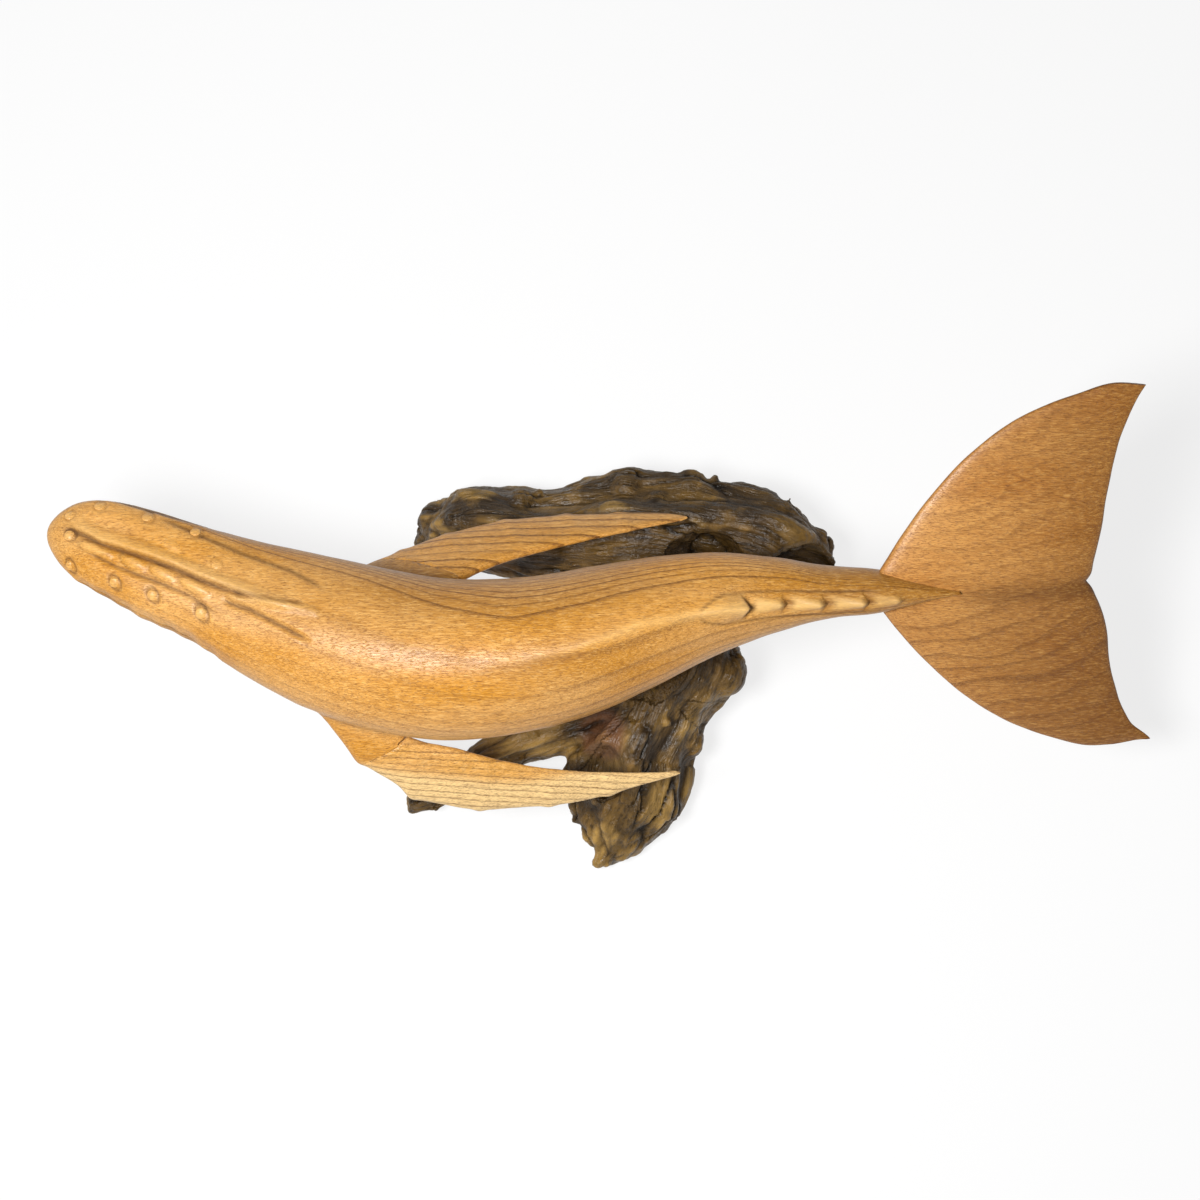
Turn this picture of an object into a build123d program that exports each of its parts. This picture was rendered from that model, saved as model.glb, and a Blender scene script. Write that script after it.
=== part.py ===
from build123d import *
import os
from math import acos, cos, pi, radians, sin

# A carved whale figurine glued and dowelled onto a gnarled root.
# Millimetres, +Z up. The nose points to -X, the whale's left side is -Y,
# and the flat underside of the root rests on Z = 0.

# Body sizes
BODY_LENGTH = 410.0        # nose to the point of the tail wedge
BODY_WIDTH = 75.0          # widest place, at the flippers
BODY_HEIGHT = 72.0         # deepest place, back to belly
SPINE_SWAY = 54.5          # sideways reach of the curved spine
SPINE_RISE = 13.0          # how far the nose stands above the low middle
TAIL_ROLL = 36.0           # degrees the tail is rolled, right side up

# Carved details on the body
FIN_HEIGHT = 6.5           # peak of the dorsal fin above the back
FIN_WIDTH = 12.0           # foot of the fin across the back
TOOTH_HEIGHT = 3.2         # largest tooth of the keel behind the fin
TOOTH_WIDTH = 10.0
CREST_SINK = 3.0           # how deep the foot of a crest goes into the back
TUBERCLE_WIDTH = 5.0       # knife-cut bumps on the head
TUBERCLE_HEIGHT = 1.6

# Flippers
LEFT_FLIPPER_LENGTH = 160.0
RIGHT_FLIPPER_LENGTH = 142.0
FLIPPER_CHORD = 38.0       # widest place
FLIPPER_THICKNESS = 9.0    # at the shoulder
FLIPPER_BEND = 7.0         # how far the tip curls down
BLADE_EDGE_SHARE = 0.34    # blunt edge of flippers and fluke over local thickness

# Tail fluke and the V splice that holds it
LOBE_SPAN = 88.0           # middle to one tip
FLUKE_REACH = 121.0        # splice mouth to the tips, along the tail
FLUKE_THICKNESS = 12.0     # at the middle
LOBE_DROOP = 8.0           # how far each tip bends down
FLUKE_SKEW = 4.0           # how far the left tip trails and the right tip leads
FLUKE_YAW = 3.0            # degrees the fluke is turned from the tail line
SPLICE_MOUTH = 19.4        # width of the V where it starts
SPLICE_LENGTH = 42.0
SPLICE_POINT = 1.4         # blunt width at the point of the V

# Root base
BASE_LENGTH = 208.0
BASE_WIDTH = 188.0
SEAT_HEIGHT = 81.0         # floor to the middle of the belly seat
SEAT_TILT = 11.0           # degrees the seat follows the rising belly
BELLY_FLAT = 1.6           # depth of the flat planed on the belly

# Dowels
MOUNT_DOWEL_RADIUS = 4.0
MOUNT_DOWEL_LENGTH = 36.0
MOUNT_DOWEL_SPACING = 26.0
FLIPPER_DOWEL_RADIUS = 1.6
FLIPPER_DOWEL_LENGTH = 18.0
DOWEL_CLEARANCE = 0.1      # radial play in every dowel hole
END_CLEARANCE = 0.5        # spare depth at each end of a dowel

OVERRUN = 60.0             # how far cutting tools reach past the work

# The seat in shares of the root's length and width from the origin
SEAT_X_SHARE = 0.04
SEAT_Y_SHARE = 0.013

# Where along the body the seat is, and the spine there
SEAT_ALONG_SHARE = 0.625
SEAT_SWAY_SHARE = 0.21
SEAT_RISE_SHARE = 0.10
SEAT_BELLY_SHARE = 0.452

# Body stations, all shares: along the length, sway, rise, half width over half
# the body width, back and belly over half the body height, roll over tail roll.
BODY_SHARES = [
    (0.000, 1.000, 1.000, 0.060, 0.050, 0.050, 0.00),
    (0.005, 0.992, 0.989, 0.180, 0.135, 0.145, 0.00),
    (0.016, 0.975, 0.965, 0.315, 0.215, 0.250, 0.00),
    (0.037, 0.945, 0.920, 0.455, 0.300, 0.350, 0.00),
    (0.063, 0.897, 0.870, 0.570, 0.360, 0.440, 0.00),
    (0.106, 0.772, 0.770, 0.665, 0.450, 0.560, 0.00),
    (0.160, 0.615, 0.580, 0.725, 0.550, 0.680, 0.00),
    (0.215, 0.425, 0.390, 0.830, 0.660, 0.790, 0.00),
    (0.281, 0.243, 0.230, 0.940, 0.800, 0.900, 0.00),
    (0.347, 0.105, 0.110, 0.990, 0.900, 0.970, 0.05),
    (0.440, 0.000, 0.000, 0.970, 0.975, 1.025, 0.22),
    (0.528, 0.045, 0.025, 0.930, 0.970, 1.000, 0.38),
    (0.605, 0.173, 0.080, 0.880, 0.915, 0.930, 0.45),
    (0.670, 0.322, 0.180, 0.770, 0.805, 0.790, 0.47),
    (0.736, 0.455, 0.360, 0.610, 0.665, 0.610, 0.52),
    (0.802, 0.520, 0.540, 0.440, 0.510, 0.465, 0.72),
    (0.857, 0.538, 0.640, 0.305, 0.415, 0.380, 0.94),
    (0.912, 0.542, 0.730, 0.245, 0.345, 0.320, 1.00),
    (1.020, 0.575, 0.770, 0.200, 0.220, 0.190, 1.00),
]
ALONG, SWAY, RISE, WIDE, BACK, BELLY, ROLL = range(7)

BODY_POINTS = 16           # points round each body station

# Crests on the back, shares of the body length: where the crest leaves the back
# and where it peaks. A tooth's size over the largest one's comes third.
FIN_SHARES = (0.695, 0.763)
TOOTH_SHARES = [
    (0.767, 0.801, 1.00),
    (0.806, 0.846, 0.95),
    (0.852, 0.893, 0.80),
    (0.899, 0.930, 0.60),
]
CREST_FOOT_SHARE = 0.55    # width of a crest where it leaves the back over its width at the peak
TUBERCLE_SIDES = 6
TUBERCLE_TOP_SHARE = 0.4

# Tubercles, shares: place along the body, then across it over the half width.
TUBERCLE_SHARES = [
    (0.028, -0.76), (0.079, -0.64), (0.121, -0.58), (0.175, -0.52),
    (0.025, 0.57), (0.058, 0.72), (0.111, 0.72), (0.164, 0.73),
    (0.058, -0.21), (0.100, -0.19), (0.130, -0.19), (0.168, -0.19),
    (0.027, 0.00), (0.104, 0.34), (0.190, 0.33),
]

# Shoulder and flipper stations, shares: along the length, then the leading and the
# trailing edge over the chord, then the thickness. Bumps and hollows take turns.
LEFT_SHOULDER_SHARES = [
    (-0.090, -0.160, -0.460, 0.80),
    (-0.040, 0.060, -0.440, 0.90),
    (0.000, 0.300, -0.400, 0.97),
]
RIGHT_SHOULDER_SHARES = [
    (-0.200, 0.080, -0.480, 0.74),
    (-0.120, 0.270, -0.460, 0.84),
    (-0.050, 0.390, -0.430, 0.93),
    (0.000, 0.465, -0.395, 0.98),
]
FLIPPER_SHARES = [
    (0.054, 0.540, -0.330, 1.00),
    (0.115, 0.660, -0.230, 1.00),
    (0.180, 0.910, 0.050, 0.96),
    (0.285, 0.950, 0.120, 0.86),
    (0.400, 1.040, 0.220, 0.76),
    (0.520, 0.880, 0.270, 0.66),
    (0.637, 0.880, 0.260, 0.57),
    (0.705, 0.740, 0.240, 0.51),
    (0.766, 0.590, 0.200, 0.46),
    (0.826, 0.460, 0.155, 0.39),
    (0.886, 0.330, 0.110, 0.32),
    (0.940, 0.215, 0.060, 0.25),
    (0.985, 0.130, 0.010, 0.18),
]
GLUE_LEAD_SHARES = (0.057, 0.550)   # glue line: along, over the chord
GLUE_TRAIL_SHARES = (0.186, 0.075)
LEFT_ALONG_SHARE = 0.320            # flipper roots along the body
RIGHT_ALONG_SHARE = 0.385
LEFT_OUT_SHARE = 1.000              # roots over the half width there
RIGHT_OUT_SHARE = 0.760
FLIPPER_DOWN_SHARE = 0.400          # root below the spine over half the height
FLIPPER_DROOP = 40.0                # degrees the leading edge hangs below level
FLIPPER_DIP = 9.0                   # degrees the tip points down
LEFT_SPREAD = 6.3                   # degrees each flipper stands off the body
RIGHT_SPREAD = 18.5

# Each flipper: side, length, root along and out, spread, shoulder stations
LEFT_POSE = (
    -1, LEFT_FLIPPER_LENGTH, LEFT_ALONG_SHARE, LEFT_OUT_SHARE, LEFT_SPREAD, LEFT_SHOULDER_SHARES,
)
RIGHT_POSE = (
    1, RIGHT_FLIPPER_LENGTH, RIGHT_ALONG_SHARE, RIGHT_OUT_SHARE, RIGHT_SPREAD, RIGHT_SHOULDER_SHARES,
)

# Lobe stations, shares: across the span, leading edge and trailing edge over
# the reach, thickness over the thickness at the middle.
LOBE_SHARES = [
    (0.000, 0.000, 0.768, 1.00),
    (0.108, 0.000, 0.795, 0.92),
    (0.270, 0.075, 0.826, 0.78),
    (0.450, 0.178, 0.850, 0.64),
    (0.620, 0.293, 0.879, 0.52),
    (0.770, 0.428, 0.912, 0.42),
    (0.890, 0.575, 0.954, 0.34),
    (0.965, 0.720, 0.986, 0.27),
    (1.000, 0.890, 1.000, 0.20),
]
LOBE_DROOP_POWER = 1.4     # how late along the lobe the droop sets in

# Root limbs, shares of the root's length, width and seat height: a station
# along the limb, then the centre and the two half sizes of its cross section.
BACK_LOG_SHARES = [
    (-0.440, 0.386, 0.08, 0.024, 0.12),
    (-0.360, 0.392, 0.18, 0.080, 0.30),
    (-0.240, 0.384, 0.24, 0.108, 0.36),
    (-0.120, 0.368, 0.26, 0.120, 0.34),
    (0.040, 0.374, 0.30, 0.160, 0.36),
    (0.200, 0.366, 0.34, 0.158, 0.36),
    (0.340, 0.350, 0.36, 0.142, 0.38),
    (0.470, 0.308, 0.36, 0.112, 0.34),
    (0.545, 0.250, 0.38, 0.050, 0.18),
]
NEAR_ARM_SHARES = [
    (0.060, 0.180, 0.42, 0.130, 0.36),
    (-0.080, 0.150, 0.34, 0.125, 0.36),
    (-0.205, 0.078, 0.27, 0.142, 0.34),
    (-0.320, 0.062, 0.20, 0.138, 0.29),
    (-0.410, 0.062, 0.13, 0.088, 0.20),
    (-0.485, 0.005, 0.06, 0.024, 0.08),
]
LEFT_ARM_SHARES = [
    (0.140, -0.060, 0.34, 0.100, 0.26),
    (-0.020, -0.125, 0.28, 0.078, 0.22),
    (-0.180, -0.168, 0.20, 0.060, 0.19),
    (-0.330, -0.258, 0.13, 0.056, 0.16),
    (-0.450, -0.328, 0.07, 0.022, 0.08),
]
CROWN_SHARES = [
    (-0.100, 0.125, 0.120, 0.185, 0.250),
    (0.250, 0.140, 0.120, 0.170, 0.230),
    (0.550, 0.110, 0.075, 0.140, 0.160),
    (0.850, 0.055, 0.025, 0.115, 0.095),
    (1.250, 0.030, 0.010, 0.110, 0.080),
]
LIMB_POINTS = 27           # points round each limb station
# Ribs round every limb: how many, height over the half size as a share, and the
# radians that they turn from station to station.
RIB_SHARES = [
    (3, 0.060, 0.45),
    (5, 0.055, -0.40),
    (8, 0.075, 0.25),
]
RIB_FADE_SHARE = 0.55      # how far the ribs die away on one side of a limb
RIB_FADE_TURN = 0.80       # radians that this side turns from station to station
# Knobs on the root, shares: centre, then the radius over the seat height.
KNOB_SHARES = [
    ((-0.400, 0.415, 0.20), 0.10),
    ((-0.300, 0.435, 0.38), 0.12),
    ((-0.185, 0.435, 0.44), 0.11),
    ((0.066, 0.475, 0.46), 0.14),
    ((0.211, 0.470, 0.48), 0.13),
    ((0.386, 0.425, 0.48), 0.13),
    ((0.500, 0.325, 0.44), 0.13),
    ((0.130, 0.415, 0.58), 0.11),
    ((0.290, -0.010, 0.48), 0.13),
    ((0.200, -0.180, 0.32), 0.12),
    ((0.145, -0.340, 0.24), 0.12),
    ((-0.015, -0.330, 0.13), 0.09),
    ((-0.400, -0.300, 0.12), 0.08),
    ((-0.200, -0.215, 0.24), 0.09),
]
# Hollows in the root, shares: centre, then the radius over the seat height.
HOLLOW_SHARES = [
    ((0.235, 0.235, 0.68), 0.24),
    ((0.470, 0.225, 0.62), 0.22),
    ((-0.030, -0.285, 0.60), 0.23),
]


def between(along, column):
    """Read one column of the body stations at any share of the length."""
    for low, high in zip(BODY_SHARES, BODY_SHARES[1:]):
        if along <= high[ALONG]:
            part = (along - low[ALONG]) / (high[ALONG] - low[ALONG])
            return low[column] + part * (high[column] - low[column])
    return BODY_SHARES[-1][column]


def spine(along, sway, rise):
    """Point on the spine for the given shares, measured from the belly seat."""
    x = SEAT_X_SHARE * BASE_LENGTH + (along - SEAT_ALONG_SHARE) * BODY_LENGTH
    y = SEAT_Y_SHARE * BASE_WIDTH + (sway - SEAT_SWAY_SHARE) * SPINE_SWAY
    seat_spine = SEAT_HEIGHT + SEAT_BELLY_SHARE * BODY_HEIGHT - BELLY_FLAT
    z = seat_spine + (rise - SEAT_RISE_SHARE) * SPINE_RISE
    return Vector(x, y, z)


def spine_at(along):
    return spine(along, between(along, SWAY), between(along, RISE))


def ring_point(row, angle):
    """Point on a body station; angle zero is the right side, a right angle the back."""
    across = row[WIDE] * BODY_WIDTH / 2 * cos(angle)
    tall = row[BACK] if sin(angle) > 0 else row[BELLY]
    upward = tall * BODY_HEIGHT / 2 * sin(angle)
    turn = radians(row[ROLL] * TAIL_ROLL)
    centre = spine(row[ALONG], row[SWAY], row[RISE])
    offset = Vector(0, across * cos(turn) - upward * sin(turn), across * sin(turn) + upward * cos(turn))
    return centre + offset


def skin(along, angle):
    """Point on the body's skin at any share of the length."""
    row = [along] + [between(along, column) for column in range(1, 7)]
    return ring_point(row, angle)


def closed_face(points):
    return Face(Wire([Spline(*points, periodic=True)]))


def body_blank():
    """The body lofted through its stations, nose to tail."""
    ring = [2 * pi * k / BODY_POINTS for k in range(BODY_POINTS)]
    return loft([closed_face([ring_point(row, angle) for angle in ring]) for row in BODY_SHARES])


def crest_section(along, width, height):
    """Three-cornered section of a crest, square to the body's length."""
    top = skin(along, pi / 2)
    upward = (top - spine_at(along)).normalized()
    plane = Plane(origin=top, x_dir=upward.cross(Vector(1, 0, 0)), z_dir=(1, 0, 0))
    corners = Polyline((-width / 2, -CREST_SINK), (width / 2, -CREST_SINK), (0, height), close=True)
    return plane * make_face(corners)


def crest(start, peak, width, height):
    """A carved crest: a ridge that climbs out of the back and drops off square at its peak."""
    foot = crest_section(start, width * CREST_FOOT_SHARE, 0)
    return loft([foot.face(), crest_section(peak, width, height).face()], ruled=True)


def back_crests():
    """The dorsal fin and the keel of teeth behind it."""
    solids = [crest(*FIN_SHARES, FIN_WIDTH, FIN_HEIGHT)]
    for start, peak, size in TOOTH_SHARES:
        solids.append(crest(start, peak, TOOTH_WIDTH * size, TOOTH_HEIGHT * size))
    return solids


def tubercle(along, angle):
    """One knife-cut bump: a six-sided stump standing on the skin."""
    place = skin(along, angle)
    plane = Plane(origin=place, x_dir=(1, 0, 0), z_dir=place - spine_at(along))
    foot = plane.offset(-TUBERCLE_HEIGHT) * RegularPolygon(TUBERCLE_WIDTH / 2, TUBERCLE_SIDES)
    top_radius = TUBERCLE_WIDTH / 2 * TUBERCLE_TOP_SHARE
    top = plane.offset(TUBERCLE_HEIGHT) * RegularPolygon(top_radius, TUBERCLE_SIDES)
    return loft([foot.face(), top.face()], ruled=True)


def tubercles():
    """The bumps along the middle and both lips of the head."""
    return [tubercle(along, acos(across)) for along, across in TUBERCLE_SHARES]


def flipper_frame(pose):
    """Root point and directions of a flipper: along it, to its leading edge, off its face."""
    side, length, along, out, spread, _ = pose
    centre = spine_at(along)
    half_width = between(along, WIDE) * BODY_WIDTH / 2
    root = centre + Vector(0, side * out * half_width, -FLIPPER_DOWN_SHARE * BODY_HEIGHT / 2)
    turn, dip, droop = radians(spread), radians(FLIPPER_DIP), radians(FLIPPER_DROOP)
    level = Vector(cos(turn), side * sin(turn), 0)
    outward = Vector(-sin(turn), side * cos(turn), 0)
    length_way = level * cos(dip) - Vector(0, 0, sin(dip))
    up_way = level * sin(dip) + Vector(0, 0, cos(dip))
    lead_way = outward * cos(droop) - up_way * sin(droop)
    face_way = outward * sin(droop) + up_way * cos(droop)
    return root, length_way, lead_way, face_way


def blade_face(plane, lead, trail, thickness):
    """Blunt-edged lens: two bowed faces and two narrow edges."""
    edge = thickness * BLADE_EDGE_SHARE / 2
    middle = (lead + trail) / 2
    upper = Spline((lead, edge), (middle, thickness / 2), (trail, edge))
    lower = Spline((trail, -edge), (middle, -thickness / 2), (lead, -edge))
    outline = Wire([upper, Line(upper @ 1, lower @ 0), lower, Line(lower @ 1, upper @ 0)])
    return plane * Face(outline)


def flipper_blank(pose):
    """Shoulder and flipper as one blade, before the glue cut."""
    root, length_way, lead_way, face_way = flipper_frame(pose)
    length = pose[1]
    faces = []
    for along, lead, trail, thick in pose[-1] + FLIPPER_SHARES:
        curl = face_way * (FLIPPER_BEND * along * abs(along))
        origin = root + length_way * (along * length) - curl
        plane = Plane(origin=origin, x_dir=lead_way, z_dir=length_way)
        faces.append(blade_face(plane, lead * FLIPPER_CHORD, trail * FLIPPER_CHORD, thick * FLIPPER_THICKNESS))
    return loft(faces)


def glue_plane(pose):
    """The flat glue face of a shoulder, looking out towards the flipper."""
    root, length_way, lead_way, face_way = flipper_frame(pose)
    corners = []
    for along, chord in (GLUE_LEAD_SHARES, GLUE_TRAIL_SHARES):
        corners.append(root + length_way * (along * pose[1]) + lead_way * (chord * FLIPPER_CHORD))
    line_way = (corners[1] - corners[0]).normalized()
    out_way = line_way.cross(face_way)
    if out_way.dot(lead_way) < 0:
        out_way = out_way * -1
    return Plane(origin=(corners[0] + corners[1]) / 2, x_dir=line_way, z_dir=out_way)


def dowel_at(plane, radius, length):
    """A straight dowel centred on a joint plane."""
    return plane * Cylinder(radius, length)


def dowel_hole(plane, radius, length):
    return dowel_at(plane, radius + DOWEL_CLEARANCE, length + 2 * END_CLEARANCE)


def fluke_plane():
    """Frame of the tail: along it, across it, and up off the fluke."""
    along = BODY_SHARES[-2][ALONG]
    yaw, roll = radians(FLUKE_YAW), radians(TAIL_ROLL)
    back_way = Vector(cos(yaw), sin(yaw), 0)
    side_way = Vector(-sin(yaw) * cos(roll), cos(yaw) * cos(roll), sin(roll))
    return Plane(origin=spine_at(along), x_dir=back_way, z_dir=back_way.cross(side_way))


def splice_prism():
    """The V of the tail splice, standing right through the fluke."""
    mouth, point = SPLICE_MOUTH / 2, SPLICE_POINT / 2
    outline = Polyline(
        (-OVERRUN, mouth), (0, mouth), (SPLICE_LENGTH, point),
        (SPLICE_LENGTH, -point), (0, -mouth), (-OVERRUN, -mouth), close=True,
    )
    return fluke_plane() * extrude(make_face(outline), OVERRUN, both=True)


def splice_waste():
    """What is sawn off the tail on both sides of the V."""
    block = Pos(OVERRUN, 0, 0) * Box(2 * OVERRUN, 2 * OVERRUN, 2 * OVERRUN)
    return fluke_plane() * block - splice_prism()


def fluke_lobe(side):
    """One lobe of the fluke, from the middle to its tip."""
    base = fluke_plane()
    faces = []
    for across, lead, trail, thick in LOBE_SHARES:
        droop = LOBE_DROOP * across ** LOBE_DROOP_POWER
        origin = base.origin + base.y_dir * (side * across * LOBE_SPAN) - base.z_dir * droop
        plane = Plane(origin=origin, x_dir=base.x_dir, z_dir=base.y_dir * side)
        shift = -side * across * FLUKE_SKEW
        edges = (lead * FLUKE_REACH + shift, trail * FLUKE_REACH + shift)
        faces.append(blade_face(plane, *edges, thick * FLUKE_THICKNESS))
    return loft(faces)


def seat_plane():
    """The tilted glue face between belly and root."""
    tilt = radians(SEAT_TILT)
    origin = (SEAT_X_SHARE * BASE_LENGTH, SEAT_Y_SHARE * BASE_WIDTH, SEAT_HEIGHT)
    return Plane(origin=origin, x_dir=(cos(tilt), 0, sin(tilt)), z_dir=(-sin(tilt), 0, cos(tilt)))


def mount_planes():
    """Front and rear dowel places on the seat."""
    half = MOUNT_DOWEL_SPACING / 2
    return [seat_plane() * Pos(-half, 0, 0), seat_plane() * Pos(half, 0, 0)]


def limb_ring(half_a, half_b, index):
    """Ribbed cross section of a root limb; uneven ribs that turn from station to station."""
    points = []
    for k in range(LIMB_POINTS):
        angle = 2 * pi * k / LIMB_POINTS
        ribs = sum(height * cos(count * angle + turn * index) for count, height, turn in RIB_SHARES)
        fade = 1 - RIB_FADE_SHARE * (1 + cos(angle - RIB_FADE_TURN * index)) / 2
        swell = 1 + ribs * fade
        points.append((half_a * swell * cos(angle), half_b * swell * sin(angle)))
    return points


def lengthwise_limb(rows, first):
    """Limb lying along X; its ribs start at the given step of their turn."""
    faces = []
    for index, (x, y, z, wide, tall) in enumerate(rows, first):
        ring = limb_ring(wide * BASE_WIDTH, tall * SEAT_HEIGHT, index)
        points = [(x * BASE_LENGTH, y * BASE_WIDTH + a, z * SEAT_HEIGHT + b) for a, b in ring]
        faces.append(closed_face(points))
    return loft(faces)


def crosswise_limb(rows, first):
    """Limb lying along Y."""
    faces = []
    for index, (y, x, z, wide, tall) in enumerate(rows, first):
        ring = limb_ring(wide * BASE_LENGTH, tall * SEAT_HEIGHT, index)
        points = [(x * BASE_LENGTH + a, y * BASE_WIDTH, z * SEAT_HEIGHT + b) for a, b in ring]
        faces.append(closed_face(points))
    return loft(faces)


def upright_limb(rows, first):
    """Limb standing along Z."""
    faces = []
    for index, (z, x, y, wide, deep) in enumerate(rows, first):
        ring = limb_ring(wide * BASE_LENGTH, deep * BASE_WIDTH, index)
        points = [(x * BASE_LENGTH + a, y * BASE_WIDTH + b, z * SEAT_HEIGHT) for a, b in ring]
        faces.append(closed_face(points))
    return loft(faces)


def half_space(plane, size):
    """Block that fills the side of a plane its normal points to."""
    return plane * Pos(0, 0, size / 2) * Box(2 * size, 2 * size, size)


def whale_body():
    blank = body_blank() + back_crests() + tubercles()
    for pose in (LEFT_POSE, RIGHT_POSE):
        plane = glue_plane(pose)
        blank = blank + (flipper_blank(pose) - half_space(plane, BODY_LENGTH))
        blank = blank - dowel_hole(plane, FLIPPER_DOWEL_RADIUS, FLIPPER_DOWEL_LENGTH)
    blank = blank - splice_waste()
    seat = seat_plane()
    blank = blank - half_space(Plane(origin=seat.origin, z_dir=seat.z_dir * -1), OVERRUN)
    for plane in mount_planes():
        blank = blank - dowel_hole(plane, MOUNT_DOWEL_RADIUS, MOUNT_DOWEL_LENGTH)
    return blank


def flipper(pose):
    plane = glue_plane(pose)
    blade = flipper_blank(pose) & half_space(plane, BODY_LENGTH)
    return blade - dowel_hole(plane, FLIPPER_DOWEL_RADIUS, FLIPPER_DOWEL_LENGTH)


def tail_fluke():
    return fluke_lobe(1) + fluke_lobe(-1) - splice_prism()


def root_ball(centre, radius):
    """Ball at a place on the root, for a knob or a hollow."""
    x, y, z = centre
    return Pos(x * BASE_LENGTH, y * BASE_WIDTH, z * SEAT_HEIGHT) * Sphere(radius * SEAT_HEIGHT)


def root_base():
    root = upright_limb(CROWN_SHARES, 7) + lengthwise_limb(BACK_LOG_SHARES, 0)
    root = root + crosswise_limb(NEAR_ARM_SHARES, 2) + lengthwise_limb(LEFT_ARM_SHARES, 5)
    root = root + [root_ball(*row) for row in KNOB_SHARES]
    root = root - [root_ball(*row) for row in HOLLOW_SHARES]
    root = root - half_space(Plane(origin=(0, 0, 0), z_dir=(0, 0, -1)), 2 * BASE_LENGTH)
    root = root - half_space(seat_plane(), 2 * BASE_LENGTH)
    for plane in mount_planes():
        root = root - dowel_hole(plane, MOUNT_DOWEL_RADIUS, MOUNT_DOWEL_LENGTH)
    return root


front_mount, rear_mount = mount_planes()
left_glue, right_glue = glue_plane(LEFT_POSE), glue_plane(RIGHT_POSE)
NODES = {
    "whale_body": whale_body(),
    "left_flipper": flipper(LEFT_POSE),
    "right_flipper": flipper(RIGHT_POSE),
    "tail_fluke": tail_fluke(),
    "root_base": root_base(),
    "left_flipper_dowel": dowel_at(left_glue, FLIPPER_DOWEL_RADIUS, FLIPPER_DOWEL_LENGTH),
    "right_flipper_dowel": dowel_at(right_glue, FLIPPER_DOWEL_RADIUS, FLIPPER_DOWEL_LENGTH),
    "front_mounting_dowel": dowel_at(front_mount, MOUNT_DOWEL_RADIUS, MOUNT_DOWEL_LENGTH),
    "rear_mounting_dowel": dowel_at(rear_mount, MOUNT_DOWEL_RADIUS, MOUNT_DOWEL_LENGTH),
}

os.makedirs("parts", exist_ok=True)
for name, shape in NODES.items():
    solids = shape.solids()
    print(name, len(solids), "solid", round(shape.volume / 1000, 2), "cm3", shape.is_valid)
    export_step(solids[0] if len(solids) == 1 else shape, f"parts/{name}.step")
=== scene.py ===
"""Looks of a carved whale figurine glued onto a gnarled root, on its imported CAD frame."""

import math
from collections import namedtuple
from contextlib import contextmanager

import bmesh
import bpy
import numpy as np
from bpy.props import FloatProperty, FloatVectorProperty, IntProperty, PointerProperty
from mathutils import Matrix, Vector
from mathutils.kdtree import KDTree


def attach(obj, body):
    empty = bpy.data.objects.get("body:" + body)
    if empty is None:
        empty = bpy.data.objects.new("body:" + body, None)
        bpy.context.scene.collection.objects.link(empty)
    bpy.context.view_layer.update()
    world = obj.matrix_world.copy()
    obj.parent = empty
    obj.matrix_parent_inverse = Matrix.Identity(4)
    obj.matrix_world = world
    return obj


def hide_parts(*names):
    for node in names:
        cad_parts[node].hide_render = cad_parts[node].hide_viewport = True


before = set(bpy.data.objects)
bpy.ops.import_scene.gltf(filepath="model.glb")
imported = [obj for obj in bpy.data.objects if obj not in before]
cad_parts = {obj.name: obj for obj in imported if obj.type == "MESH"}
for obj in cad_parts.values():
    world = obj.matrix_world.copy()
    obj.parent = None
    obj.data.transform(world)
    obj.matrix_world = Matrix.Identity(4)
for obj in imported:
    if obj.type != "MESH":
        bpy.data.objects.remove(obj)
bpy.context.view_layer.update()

bl_info = {
    "name": "Carved whale on a root",
    "version": (1, 0, 0),
    "blender": (4, 5, 0),
    "location": "3D View > Sidebar > Whale",
    "description": "Builds the carved and varnished looks of a whale figurine on a root base",
    "category": "Object",
}

MM = 0.001
BODY = "root"

# Body in millimetres and degrees, with the place of its nose and of the lowest point of its spine
LENGTH, WIDTH, HEIGHT, SWAY, RISE, ROLL = 410.0, 75.0, 72.0, 54.5, 13.0, 36.0
NOSE_X, LOW_Y, LOW_Z = -247.93, -9.0, 110.64
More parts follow.
